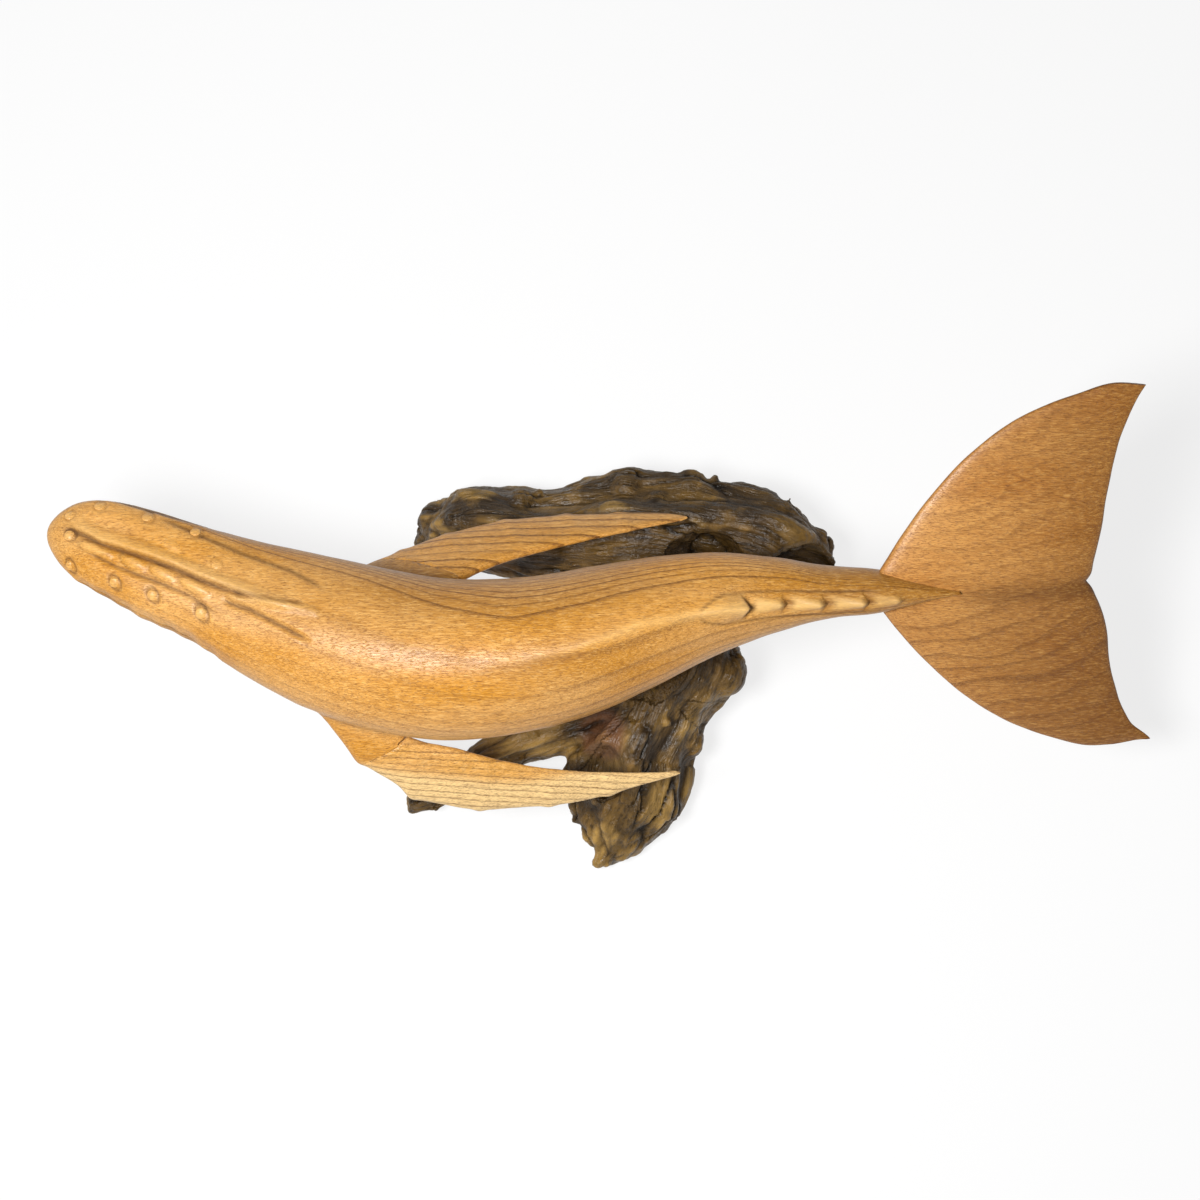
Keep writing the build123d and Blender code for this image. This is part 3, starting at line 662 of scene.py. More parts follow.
def body_tube():
    """Body skin with closely spaced rings on the head and the tail, where the carving is."""
    first, last = BODY_SHARES[0, 0], BODY_SHARES[-1, 0]
    nose = first + NOSE_REACH * np.linspace(0, 1, NOSE_RINGS) ** 2
    middle = [np.arange(*stretch) for stretch in BODY_RINGS]
    along = np.concatenate([nose, *middle, np.linspace(TIP_SHARE, last, TIP_RINGS)])
    centre, wide, back, belly, roll = body_rows(along)
    angle = np.linspace(0, 2 * math.pi, BODY_AROUND, endpoint=False)[None, :]
    across = wide[:, None] * np.cos(angle)
    upward = np.where(np.sin(angle) > 0, back[:, None], belly[:, None]) * np.sin(angle)
    cos, sin = np.cos(roll)[:, None], np.sin(roll)[:, None]
    points = np.zeros((len(along), BODY_AROUND, 3))
    points[:, :, 0] = centre[:, 0:1]
    points[:, :, 1] = centre[:, 1:2] + across * cos - upward * sin
    points[:, :, 2] = centre[:, 2:3] + across * sin + upward * cos
    return tube("body_skin", points)


def local(points):
    """Share along the body, millimetres across, shares across and up, half width and half height."""
    along = (points[:, 0] - NOSE_X) / LENGTH
    centre, wide, back, belly, roll = body_rows(along)
    dy, dz = points[:, 1] - centre[:, 1], points[:, 2] - centre[:, 2]
    across = dy * np.cos(roll) + dz * np.sin(roll)
    upward = -dy * np.sin(roll) + dz * np.cos(roll)
    wide = np.maximum(wide, 1.0)
    tall = np.maximum(np.where(upward > 0, back, belly), 1.0)
    return along, across, across / wide, upward / tall, wide, tall


# Lowest growth line of the far flank: share along the body, share of the half width
FLANK_LINE = np.array([
    (0.00, 0.80), (0.12, 0.78), (0.18, 0.70), (0.27, 0.65), (0.325, 0.61), (0.39, 0.49), (0.457, 0.36),
    (0.509, 0.23), (0.557, 0.30), (0.626, 0.39), (0.686, 0.38), (0.733, 0.41), (0.81, 0.50), (0.90, 0.50),
    (1.00, 0.50),
])
FAR_RINGS, NEAR_RINGS = 10.0, 7.0


def body_rings(along, u):
    """Ring number and strength of the growth lines: nested along the far flank, faint on the near one."""
    start = np.interp(along, FLANK_LINE[:, 0], FLANK_LINE[:, 1])
    far = np.clip((u - start) / (1 - start), 0, 1)
    near = np.clip((start - u) / (1 + start), 0, 1)
    ring = FAR_RINGS * (1 - np.sqrt(1 - far**2)) - NEAR_RINGS * (1 - np.sqrt(1 - near**2))
    tail = step(0.50, 0.62, along)
    strength = np.where(u > start - 0.05, 1.0, 0.25 + 0.45 * tail)
    return ring, strength * (0.4 + 0.6 * step(0.06, 0.14, along))


# Round knobs on the head: share along the body, share of the half width, radius in millimetres
HEAD_KNOBS = np.array([
    (0.028, -0.76, 2.2), (0.079, -0.64, 2.4), (0.121, -0.58, 2.4), (0.175, -0.52, 2.7),
    (0.025, 0.57, 2.1), (0.058, 0.72, 2.3), (0.111, 0.72, 2.5), (0.164, 0.73, 2.5),
    (0.190, 0.33, 2.4), (0.027, 0.00, 2.4),
])
# Ridge of the rostrum and crest of the back: share along the body, share of the half width
HEAD_RIDGE = np.array([
    (0.008, 0.45), (0.030, 0.24), (0.063, 0.04), (0.120, 0.07), (0.173, 0.05), (0.207, 0.09), (0.251, 0.06),
    (0.283, 0.14),
])
BACK_CREST = np.array([(0.480, -0.05), (0.546, 0.02), (0.647, 0.12), (0.712, 0.03), (0.770, 0.00)])
# Long scooped lumps beside the ridge: share along, share across, half length, half width, height
HEAD_LUMPS = [
    (0.058, -0.17, 8.0, 3.0, 1.3), (0.100, -0.16, 6.0, 3.2, 1.2), (0.132, -0.16, 6.0, 3.2, 1.2),
    (0.168, -0.16, 7.0, 3.2, 1.3), (0.190, 0.33, 5.5, 3.4, 0.5), (0.140, 0.36, 4.5, 2.6, 0.7),
]
# Mouth: share along the body, then its height on the near and far side as a share of the half height
MOUTH_LINE = np.array([
    (0.012, 0.04, 0.08), (0.050, 0.20, 0.36), (0.100, 0.24, 0.47), (0.150, 0.19, 0.44),
    (0.185, 0.00, 0.25), (0.205, -0.15, 0.00),
])
# Carved lines on the head: points as (share along, share across), depth and width in millimetres
HEAD_LINES = [
    ([(0.047, -0.30), (0.081, -0.36), (0.130, -0.35), (0.166, -0.36), (0.200, -0.42)], 0.7, 0.8),
    ([(0.196, -0.17), (0.229, -0.13), (0.262, -0.19), (0.297, -0.27)], 1.5, 1.0),
    ([(0.198, -0.06), (0.240, 0.02), (0.284, 0.11), (0.307, 0.14)], -1.0, 1.6),
    ([(0.206, 0.02), (0.245, 0.10), (0.290, 0.20)], 0.9, 1.1),
    ([(0.122, 0.78), (0.180, 0.68), (0.270, 0.60), (0.312, 0.44)], 0.5, 1.2),
]
# Eyes: share along the body, side. All lie at one share of the half height.
EYES, EYE_HEIGHT = ((0.190, -1), (0.214, 1)), -0.30
# Teeth of the keel behind the fin: share along at foot and peak, height in millimetres
KEEL_TEETH = [(0.767, 0.799, 2.8), (0.807, 0.843, 2.8), (0.851, 0.890, 2.4), (0.897, 0.928, 1.6)]
# Dorsal fin, shares along the body: foot, length, then the start and end of its steep back
FIN_FOOT, FIN_RUN, FIN_BACK, FIN_END = 0.695, 0.062, 0.7625, 0.7655
# Leaf outline round fin and teeth: share along where it starts, half width in millimetres
LEAF_START, LEAF_HALF = 0.708, 6.3
# Throat pleats: first angle below the side, angle between two, in degrees
PLEAT_START, PLEAT_STEP = 30.0, 9.5
# Where each form fades in and out: shares along the body
FADES = {
    "flat_top": ((0.01, 0.06), (0.17, 0.27)), "ridge": ((0.016, 0.050), (0.25, 0.30)),
    "valley": ((0.012, 0.032), (0.19, 0.24)), "mouth": ((0.012, 0.040), (0.180, 0.205)),
    "pleats": ((0.03, 0.07), (0.38, 0.47)), "crest": ((0.46, 0.68), (0.72, 0.82)),
    "leaf": ((0.708, 0.714), (0.88, 0.93)), "far_flank": ((0.25, 0.40), (0.60, 0.72)),
    "shoulders": ((0.12, 0.24), (0.38, 0.50)),
}
# Depths and heights in millimetres
VALLEY_DEPTH, JAW_DEPTH, NICK_HEIGHT, KNOB_MOAT, LEAF_DEPTH, DENT_HEIGHT = 0.9, 0.5, 0.7, 0.45, 0.25, 0.30
EYE_BULGE, EYE_RIM, KNOB_SINK = 0.6, 0.7, 0.4
# How dark a spot is painted, 0 to 1: painted shade and shadow by cuts and lumps, with some stain in grooves
VALLEY_DARK, LIP_DARK, NEAR_JAW_DARK, FAR_JAW_DARK, LINE_DARK, LUMP_DARK = 0.58, 0.45, 0.14, 0.42, 0.5, 0.30
MOAT_DARK, FAR_MOAT_DARK, EYE_DARK, PLEAT_DARK, HOLLOW_DARK = 0.50, 0.12, 0.5, 0.35, 0.22
FIN_DARK, TOOTH_DARK, LEAF_DARK = 0.8, 0.26, 0.60
# How pale a spot is painted, 0 to 1: painted highlight on crest, raised head and lit facets; paler knobs
FIN_PALE, CREST_PALE, TOOTH_PALE, PROUD_PALE, KNOB_PALE = 0.35, 0.34, 1 / 3.5, 0.30, 0.22
# Painted shade, 0 to 1, where less light falls: far flank, shoulders, middle of the back and tail
FLANK_SHADE, SHOULDER_SHADE, BACK_SHADE, TAIL_SHADE = 0.42, 0.24, 0.30, 0.52


def fade_of(form, along):
    """How much of a form there is at each share of the length, 0 to 1."""
    start, end = FADES[form]
    return step(*start, along) * (1 - step(*end, along))


def line_distance(along, across, wide, spots):
    """Distance in millimetres from a bent carved line on the back, and the share run along it."""
    best, place = np.full(len(along), FAR_AWAY), np.zeros(len(along))
    for index, (start, end) in enumerate(zip(spots, spots[1:])):
        px, py = (along - start[0]) * LENGTH, (across - start[1]) * wide
        wx, wy = (end[0] - start[0]) * LENGTH, (end[1] - start[1]) * wide
        run = np.clip((px * wx + py * wy) / (wx * wx + wy * wy), 0, 1)
        gap = np.hypot(px - run * wx, py - run * wy)
        place = np.where(gap < best, (index + run) / (len(spots) - 1), place)
        best = np.minimum(best, gap)
    return best, place


def head_fullness(along, u, sizes):
    """How far the head stands out beside its ridge, which makes its top flat."""
    beside = step(0.20, 0.65, np.abs(u)) * (1 - step(0.80, 0.99, np.abs(u)))
    return sizes.flat_top / MM * beside * fade_of("flat_top", along)


def ridge_carving(along, u, wide, top, sizes):
    """Ridge of the rostrum and the valley on its near side, with a painted shadow in the valley."""
    side = (u - np.interp(along, HEAD_RIDGE[:, 0], HEAD_RIDGE[:, 1])) * wide
    ridge = np.where(side > 0, roof(side, 6.0), roof(side, 1.5))
    valley = fade_of("valley", along) * top * bell(side + 2.0, 1.5)
    move = sizes.ridge_height / MM * fade_of("ridge", along) * top * ridge - VALLEY_DEPTH * valley
    return move, VALLEY_DARK * valley


def mouth_carving(along, u, v, tall, sizes):
    """Mouth line, which turns down towards the eye, the jaw below it, and knife nicks on the near jaw."""
    near, far = (np.interp(along, MOUTH_LINE[:, 0], MOUTH_LINE[:, column]) for column in (1, 2))
    edge = (np.where(u < 0, near, far) - v) * tall
    shut = fade_of("mouth", along) * step(0.4, 0.6, np.abs(u))
    lip = bell(edge, 0.6) * shut
    jaw = step(0.0, 0.9, edge) * (1 - step(3.0, 9.0, edge)) * shut
    nick = np.sin(along * 173.0) * np.sin(along * 97.0 + 1.0) + 0.5 * np.sin(along * 61.0)
    rough = nick * (1 - step(-0.95, -0.70, u)) * bell(v - 0.12, 0.35) * shut
    move = NICK_HEIGHT * rough - sizes.mouth_depth / MM * lip - JAW_DEPTH * jaw
    # painted shade in the mouth line and on the jaw under the lip, darker on the far side
    return move, LIP_DARK * lip + np.where(u > 0, FAR_JAW_DARK, NEAR_JAW_DARK) * jaw


def eye_carving(along, u, v, tall):
    """A ball in a cut ring on each side."""
    move, groove = np.zeros(len(along)), np.zeros(len(along))
    for place, side in EYES:
        gap = np.hypot((along - place) * LENGTH, (v - EYE_HEIGHT) * tall)
        ball, rim = bell(gap, 1.9) * (u * side > 0), bell(gap - 3.0, 0.6) * (u * side > 0)
        move += EYE_BULGE * ball - EYE_RIM * rim
        # painted shade in the cut ring
        groove += EYE_DARK * rim
    return move, groove


def pleat_carving(along, u, v, sizes):
    """Grooves along the throat, with painted shade in them."""
    angle = np.degrees(np.arctan2(-v, np.abs(u)))
    pleat = (0.5 + 0.5 * np.cos(np.radians((angle - PLEAT_START) * 360 / PLEAT_STEP))) ** 3
    below = step(PLEAT_START - 4, PLEAT_START + 4, angle) * fade_of("pleats", along) * pleat
    return -sizes.pleat_depth / MM * below, PLEAT_DARK * below


def head_carving(along, u, v, wide, tall, sizes):
    """Everything cut into the head: how far each point moves out, and how much painted shade it gets."""
    top = step(0.0, 0.3, v)
    cuts = (ridge_carving(along, u, wide, top, sizes), mouth_carving(along, u, v, tall, sizes),
            eye_carving(along, u, v, tall), pleat_carving(along, u, v, sizes))
    move, groove = sum(cut[0] for cut in cuts), sum(cut[1] for cut in cuts)
    for spots, depth, breadth in HEAD_LINES:
        gap, run = line_distance(along, u, wide, spots)
        cut = bell(gap, breadth) * top * step(0.0, 0.12, run) * (1 - step(0.85, 1.0, run))
        move -= depth * cut
        # painted shade, with some stain, in the cut lines
        groove += LINE_DARK * cut * (depth > 0)
    for place, share, long, broad, height in HEAD_LUMPS:
        x, y = (along - place) * LENGTH, (u - share) * wide
        from_lump = np.hypot(x / long, y / broad)
        move += height * np.maximum(1 - from_lump ** 2, 0) ** 0.7 * top
        # painted shadow along the front end of each near-side lump
        front = (share < 0) * (1 - step(-0.2, 0.7, x / long))
        groove += LUMP_DARK * bell(from_lump - 1.05, 0.13) * top * front
    for place, share, radius in HEAD_KNOBS:
        gap = np.hypot((along - place) * LENGTH - 0.5, (u - share) * wide - 0.3)
        # painted shadow in the moat round each knob, stronger on the near side
        moat = bell(gap - radius * 1.15, 0.6) * top
        move -= KNOB_MOAT * moat
        groove += (MOAT_DARK if share < 0.2 else FAR_MOAT_DARK) * moat
    return move, groove


def keel_carving(along, across, v, wide, sizes):
    """Dorsal fin and the gouged teeth behind it, with painted shade in its cuts and painted light on its
    facets.
    """
    top = step(0.15, 0.5, v)
    swept = along + 0.0016 * np.abs(across)
    rise = np.clip((along - FIN_FOOT) / FIN_RUN, 0, 1) ** 1.4
    drop = 1 - step(FIN_BACK, FIN_END, swept)
    move = sizes.fin_height / MM * rise * drop * roof(across, 7.5 - 2.5 * rise) * top
    side = across - np.interp(along, BACK_CREST[:, 0], BACK_CREST[:, 1]) * wide
    crest = fade_of("crest", along) * top
    move += sizes.crest_share * wide * crest * roof(side, 0.62 * wide)
    # painted shade behind the fin's steep back
    groove = FIN_DARK * bell((swept - FIN_END) * LENGTH, 0.9) * roof(across, 6.0) * top
    # painted light on the fin's face and a painted highlight along the back's crest
    painted_light = FIN_PALE * rise * drop * roof(across, 7.0) * top + CREST_PALE * crest * bell(side, 2.2)
    for foot, peak, height in KEEL_TEETH:
        run = np.clip((swept - foot) / (peak - foot), 0, 1)
        inside = (swept > foot) * (1 - step(peak, peak + 0.008, swept)) * top
        tooth = inside * height * roof(across, 5.6 - 2.8 * run)
        move += tooth * run
        move -= inside * sizes.gouge_depth / MM * (1 - run) * roof(across, 4.8) ** 0.5
        # painted light on the rising scoop of each tooth
        painted_light += TOOTH_PALE * tooth * step(0.08, 0.40, run)
        # painted shadow where each tooth drops
        groove += TOOTH_DARK * bell((swept - peak - 0.006) * LENGTH, 2.0) * roof(across, 4.5) * top
    half = LEAF_HALF * np.clip((along - LEAF_START) / 0.03, 0, 1) ** 0.6 - 0.02 * (along - 0.74) * LENGTH
    # painted shade in the cut outline of the leaf
    outline = bell(np.abs(across) - half, 0.55) * fade_of("leaf", along) * top
    return move - LEAF_DEPTH * outline, groove + LEAF_DARK * outline, painted_light


def carve_body(piece, sizes):
    """Cut the head, fin and keel into the body's skin, and store its painted shade, painted highlights and
    growth lines.
    """
    points, normals = read(piece)
    along, across, u, v, wide, tall = local(points)
    on_body = 1 - step(1.06, 1.16, np.hypot(u, v))
    move, groove = head_carving(along, u, v, wide, tall, sizes)
    keel_move, keel_shade_and_stain, painted_light = keel_carving(along, across, v, wide, sizes)
    move += keel_move + DENT_HEIGHT * ripple(points / 13.0, 3)
    # painted shade in recessed spots, and painted highlight on raised spots of the head
    hollow, proud = np.clip(-move, 0, 1), np.clip(move / 1.6, 0, 1) * (along < 0.33)
    move += head_fullness(along, u, sizes) * step(0.0, 0.3, v)
    write(piece, points + normals * (move * on_body)[:, None])
    groove, painted_light = groove + HOLLOW_DARK * hollow, painted_light + PROUD_PALE * proud
    paint(piece, "groove", np.clip((groove + keel_shade_and_stain) * on_body, 0, 0.85))
    paint(piece, "cut", np.clip(painted_light * on_body, 0, 0.6))
    ring, strength = body_rings(along, u)
    paint(piece, "ring", ring)
    paint(piece, "lines", strength * on_body)
    # painted shade where less light falls: far flank, shoulders, middle of the back and tail
    outer = FLANK_SHADE * step(0.20, 0.70, u) * fade_of("far_flank", along)
    outer += SHOULDER_SHADE * fade_of("shoulders", along) * bell(u - 0.15, 0.5)
    outer += BACK_SHADE * bell(along - 0.56, 0.06) * bell(u + 0.1, 0.4)
    outer += TAIL_SHADE * step(0.72, 0.92, along)
    paint(piece, "outer", np.clip(outer, 0, 1))


def head_knobs(wood, sizes):
    """Flat domes on the head as one mesh, sunk a little into its skin."""
    places, shares, radii = HEAD_KNOBS.T
    spots, ways = map(np.array, zip(*map(skin_point, places, shares)))
    proud = head_fullness(places, shares, sizes) - KNOB_SINK
    knobs = new_mesh("head_knobs", spots + ways * proud[:, None], [])
    paint(knobs, "size", radii * MM)
    paint_vectors(knobs, "out", ways)
    run_group(knobs, knob_group(wood), {"Dome height": sizes.dome})
    # the knob domes are painted paler, with no painted shade
    for name, value in (("groove", 0.0), ("cut", KNOB_PALE), ("ring", 0.5), ("lines", 0.0)):
        paint(knobs, name, np.full(len(knobs.data.vertices), value))
    return knobs


# Blades

def blade_rings(rows, origins, across_way, face_way, chord, blade, around):
    """Blunt lens sections, one for each row of leading edge, trailing edge and thickness shares."""
    angle = np.linspace(0, 2 * math.pi, around, endpoint=False)
    run = np.sign(np.cos(angle)) * np.abs(np.cos(angle)) ** 0.75
    rise = np.sign(np.sin(angle)) * np.abs(np.sin(angle)) ** 0.85
    middle = (rows[:, 0] + rows[:, 1]) / 2 * chord
    half = (rows[:, 0] - rows[:, 1]) / 2 * chord
    place = middle[:, None] + half[:, None] * run[None, :]
    lift = rows[:, 2][:, None] * blade / 2 * rise[None, :]
    return origins[:, None, :] + place[:, :, None] * across_way + lift[:, :, None] * face_way


def blade_run(first, last, count, tip_count):
    """Places along a blade, which lie closer together at its tip."""
    tip = TIP_START + (last - TIP_START) * np.sin(np.linspace(0, 1, tip_count)[1:] * math.pi / 2)
    return np.concatenate([np.linspace(first, TIP_START, count), tip])


def flipper_frame(pose):
    """Root point and directions of a flipper: along it, to its leading edge, off its face."""
    sway, rise, wide = (np.interp(pose.along, BODY_SHARES[:, 0], BODY_SHARES[:, k]) for k in (1, 2, 3))
    centre = np.array([NOSE_X + LENGTH * pose.along, LOW_Y + SWAY * sway, LOW_Z + RISE * rise])
    root = centre + np.array([0, pose.side * pose.out * wide * WIDTH / 2, -ROOT_DOWN * HEIGHT / 2])
    turn, dip, droop = np.radians([pose.spread, DIP, DROOP])
    level = np.array([math.cos(turn), pose.side * math.sin(turn), 0])
    outward = np.array([-math.sin(turn), pose.side * math.cos(turn), 0])
    up = np.array([0, 0, 1.0])
    length_way = level * math.cos(dip) - up * math.sin(dip)
    up_way = level * math.sin(dip) + up * math.cos(dip)
    lead_way = outward * math.cos(droop) - up_way * math.sin(droop)
    face_way = outward * math.sin(droop) + up_way * math.cos(droop)
    return root, length_way, lead_way, face_way


def flipper_blade(name, pose, knob_mm):
    """Shoulder and flipper as one blade, with round knobs on its leading edge."""
    root, length_way, lead_way, face_way = flipper_frame(pose)
    run = blade_run(pose.edges[0, 0], pose.edges[-1, 0], 150, 22)
    rows = curve(pose.edges, run)
    for place in KNOB_PLACES:
        lump = bell((run - place) * pose.length, KNOB_REACH)
        rows[:, 0] += knob_mm / CHORD * lump
        rows[:, 2] += KNOB_SWELL * lump
    curl = CURL * run * np.abs(run)
    origins = root + run[:, None] * pose.length * length_way - curl[:, None] * face_way
    return tube(name, blade_rings(rows, origins, lead_way, face_way, CHORD, BLADE, FLIPPER_AROUND))


def glue_plane(pose):
    """Middle and outward normal of a shoulder's glue face."""
    root, length_way, lead_way, face_way = flipper_frame(pose)
    ends = [root + run * pose.length * length_way + chord * CHORD * lead_way
            for run, chord in (GLUE_LEAD, GLUE_TRAIL)]
    out = np.cross(ends[1] - ends[0], face_way)
    out /= np.linalg.norm(out)
    return (ends[0] + ends[1]) / 2, out * np.sign(out @ lead_way)


def fluke_frame():
    """Middle of the splice, with the ways back, to the far side and up."""
    yaw, roll = math.radians(YAW), math.radians(ROLL)
    back_way = np.array([math.cos(yaw), math.sin(yaw), 0])
    side_way = np.array([-math.sin(yaw) * math.cos(roll), math.cos(yaw) * math.cos(roll), math.sin(roll)])
    base = np.array([NOSE_X, LOW_Y, LOW_Z]) + np.array([LENGTH, SWAY, RISE]) * SPLICE
    return base, back_way, side_way, np.cross(back_way, side_way)


def fluke_blade(name):
    """Both lobes as one blade, tip to tip, with the notch in the middle of its trailing edge."""
    half = blade_run(0.0, 1.0, 70, 24)
    run = np.concatenate([-half[:0:-1], half])
    outward = np.clip((np.abs(run) - LEAD_START) / (1 - LEAD_START), 0, 1)
    lead = LEAD_END * (1 - (1 - outward) ** LEAD_POWER)
    rows = np.column_stack([lead, curve(LOBE_SHARES, np.abs(run))])
    base, back_way, side_way, up_way = fluke_frame()
    droop = LOBE_DROOP * np.abs(run) ** 1.4
    origins = (base + run[:, None] * SPAN * side_way - droop[:, None] * up_way
               - (run * SKEW)[:, None] * back_way)
    rings = blade_rings(rows, origins, back_way, up_way, REACH, FLUKE_BLADE, FLUKE_AROUND)
    reach, out = (rings - base) @ back_way / REACH, np.repeat(run[:, None], FLUKE_AROUND, axis=1)
    # the tips are full in front, the near tip hooks back, and the near lobe swells beside the notch
    outer = step(0.78, 0.96, np.abs(out))
    full = np.where(out > 0, FAR_FULL * bell(reach - 0.85, 0.10), NEAR_FULL * bell(reach - 0.80, 0.10))
    hook = np.where(out < 0, step(0.90, 1.0, reach), 0.0) * step(0.85, 1.0, np.abs(out))
    swell = bell(out + 0.24, 0.20) * (1 - step(-0.12, 0.0, out)) * step(0.35, 0.80, reach)
    rings += (np.sign(out) * (outer * full - HOOK_IN * hook))[:, :, None] * side_way
    rings += (HOOK_BACK * hook + LOBE_SWELL * swell)[:, :, None] * back_way
    return tube(name, rings)


# Root

# Middle lines of the root's limbs, in millimetres
LIMBS = [
    [(-91, 72, 7), (-25, 70, 21), (42, 69, 28), (113, 47, 31)],
    [(37, 11, 34), (16, -38, 22), (13, -60, 16), (1, -91, 5)],
    [(29, -11, 28), (-37, -32, 16), (-94, -62, 6)],
    [(26, 22, -8), (12, 5, 69), (6, 2, 101)],
]
# Hollows in the root, where shade is painted: centre and radius in millimetres
HOLLOWS = [((48.9, 44.2, 55.1), 19.4), ((97.8, 42.3, 50.2), 17.8), ((-6.2, -53.6, 48.6), 18.6)]

# Bare reddish cut beside the near limb: middle and radius in millimetres
SAWN_FACE, SAWN_SIZE = (0.0, -34.0, 44.0), 16.0
# Planed seat: height, place along X, tilt in degrees
SEAT_HEIGHT, SEAT_X, SEAT_TILT = 81.0, 8.3, 11.0
# Noise that follows a limb: feature size along and across it in millimetres, seed
FOLD, FIBRE, CRACK, HUMP = (75.0, 11.0, 32), (30.0, 3.4, 33), (40.0, 20.0, 34), (32.0, 17.0, 36)
# Noise that bends the limbs' fibres, and two finer ones that roughen the skin: size, height, seeds
SWIRL_SIZE, SWIRL, SWIRL_SEEDS = 30.0, 5.0, (21, 22, 23)
ROUGHNESS = [(8.0, 1.0, 31), (2.2, 0.25, 35)]
# Millimetres over which one limb's skin gives way to the next, and between their noises
LIMB_BLEND, LIMB_SHIFT = 5.0, 100.0


def limb_places(points, limb):
    """Place along a limb and offset from its middle line, with the distance from it."""
    spots = np.array(limb, float)
    best = np.full(len(points), FAR_AWAY)
    places = np.zeros((len(points), 3))
    start_run = 0.0
    for start, end in zip(spots, spots[1:]):
        way = end - start
        size = np.linalg.norm(way)
        run = np.clip((points - start) @ way / size**2, 0, 1)
        offset = points - start - run[:, None] * way
        gap = np.linalg.norm(offset, axis=1)
        side = np.cross(way / size, (0.0, 0.0, 1.0) if abs(way[2]) < 0.7 * size else (0.0, 1.0, 0.0))
        side /= np.linalg.norm(side)
        lift = np.cross(side, way / size)
        found = np.stack([start_run + run * size, offset @ side, offset @ lift], axis=1)
        places = np.where((gap < best)[:, None], found, places)
        best = np.minimum(best, gap)
        start_run += size
    return places, best


def gnarl_root(root, sizes):
    """Fibres, cracks and lumps along each limb of the root; painted shade in hollows, humps painted
    lighter.
    """
    points, normals = read(root)
    swirl = np.stack([ripple(points / SWIRL_SIZE, seed) for seed in SWIRL_SEEDS], axis=1)
    total, dark, weights = np.zeros((3, len(points)))
    flow, nearest = np.zeros((len(points), 3)), np.full(len(points), FAR_AWAY)
    for index, limb in enumerate(LIMBS):
        places, gap = limb_places(points, limb)
        weight = np.exp(-gap / LIMB_BLEND) + TINY
        bent = places + SWIRL * swirl + LIMB_SHIFT * index
        flow = np.where((gap < nearest)[:, None], bent, flow)
        nearest = np.minimum(nearest, gap)
        fold = long_ripple(bent, FOLD)
        strand = np.minimum(2.2 * np.abs(fold), 1.0)
        fibre = np.minimum(2.2 * np.abs(long_ripple(bent, FIBRE)), 1.0)
        crack = bell(fold, 0.03) * step(0.0, 0.25, long_ripple(bent, CRACK))
        hump = long_ripple(bent, HUMP)
        move = sizes.lump / MM * hump + sizes.strand / MM * (strand - 0.5)
        move += sizes.fibre / MM * (fibre - 0.5) - sizes.crack / MM * crack
        total += weight * move
        # dark in cracks, folds and between fibres: partly the root's own black, partly painted shade
        dark += weight * np.clip(0.6 * crack + 0.3 * bell(fold, 0.06) + 0.45 * (1 - fibre), 0, 1)
        weights += weight
    move, dark = total / weights, dark / weights
    # painted shade inside each hollow
    for centre, radius in HOLLOWS:
        dark = np.maximum(dark, 0.8 * (1 - step(0.9, 1.2, away(points, centre) / radius)))
    for size, height, seed in ROUGHNESS:
        move += height * ripple(points / size, seed)
    seat = SEAT_HEIGHT + (points[:, 0] - SEAT_X) * math.tan(math.radians(SEAT_TILT)) - points[:, 2]
    move *= step(0.5, 6.0, points[:, 2]) * (0.3 + 0.7 * step(-1.0, 5.0, seat))
    moved = points + normals * move[:, None]
    moved[:, 2] = np.maximum(moved[:, 2], 0.0)
    write(root, moved)
    paint(root, "groove", np.clip(dark, 0, 0.95))
    # lighter on raised humps and on the near arm, less on the far end of the log: partly wear, partly
    # painted highlight
    near_arm = 1 - step(-30.0, -5.0, points[:, 1])
    far_end = step(40.0, 110.0, points[:, 0]) * step(0.0, 30.0, points[:, 1])
    worn = step(0.3, 1.6, move) * (1 - near_arm) * (1 - 0.6 * far_end)
    worn += 1.3 * near_arm * step(-1.0, 1.2, move)
    paint(root, "worn", worn)
    paint_vectors(root, "flow", flow * MM)
    paint(root, "sawn", 0.65 * (1 - step(0.6, 1.0, away(points, SAWN_FACE) / SAWN_SIZE)))


# Properties

class WhaleBodySizes(bpy.types.PropertyGroup):
    """Sizes of the carved body."""
    dome: FloatProperty(name="Dome", description="Height of a head knob over its radius", default=0.42)
    knob: FloatProperty(name="Knob", description="Knobs on a shoulder's leading edge",
                        default=0.0010, unit="LENGTH")
    fillet: FloatProperty(name="Fillet", description="Width of the rounding round a shoulder",
                          default=0.005, unit="LENGTH")
    ridge_height: FloatProperty(name="Ridge", description="Ridge along the rostrum",
                                default=0.0020, unit="LENGTH")
    mouth_depth: FloatProperty(name="Mouth", description="Depth of the mouth line",
                               default=0.0014, unit="LENGTH")
    gouge_depth: FloatProperty(name="Gouges", description="Depth of the gouges in the keel",
                               default=0.0014, unit="LENGTH")
    pleat_depth: FloatProperty(name="Pleats", description="Depth of the throat pleats",
                               default=0.0010, unit="LENGTH")
    flat_top: FloatProperty(name="Flat top", description="Fullness of the head beside its ridge",
                            default=0.0016, unit="LENGTH")
    crest_share: FloatProperty(name="Crest", description="Height of the back's crest over the half width",
                               default=0.15)
    fin_height: FloatProperty(name="Fin", description="Height of the dorsal fin",
                              default=0.0055, unit="LENGTH")


class WhaleLimbSizes(bpy.types.PropertyGroup):
    """Sizes of the flippers and the fluke."""
    knob: FloatProperty(name="Knob", description="Knobs on a flipper's leading edge",
                        default=0.0010, unit="LENGTH")
    dent: FloatProperty(name="Dent", description="Hand-worked waviness", default=0.00025, unit="LENGTH")


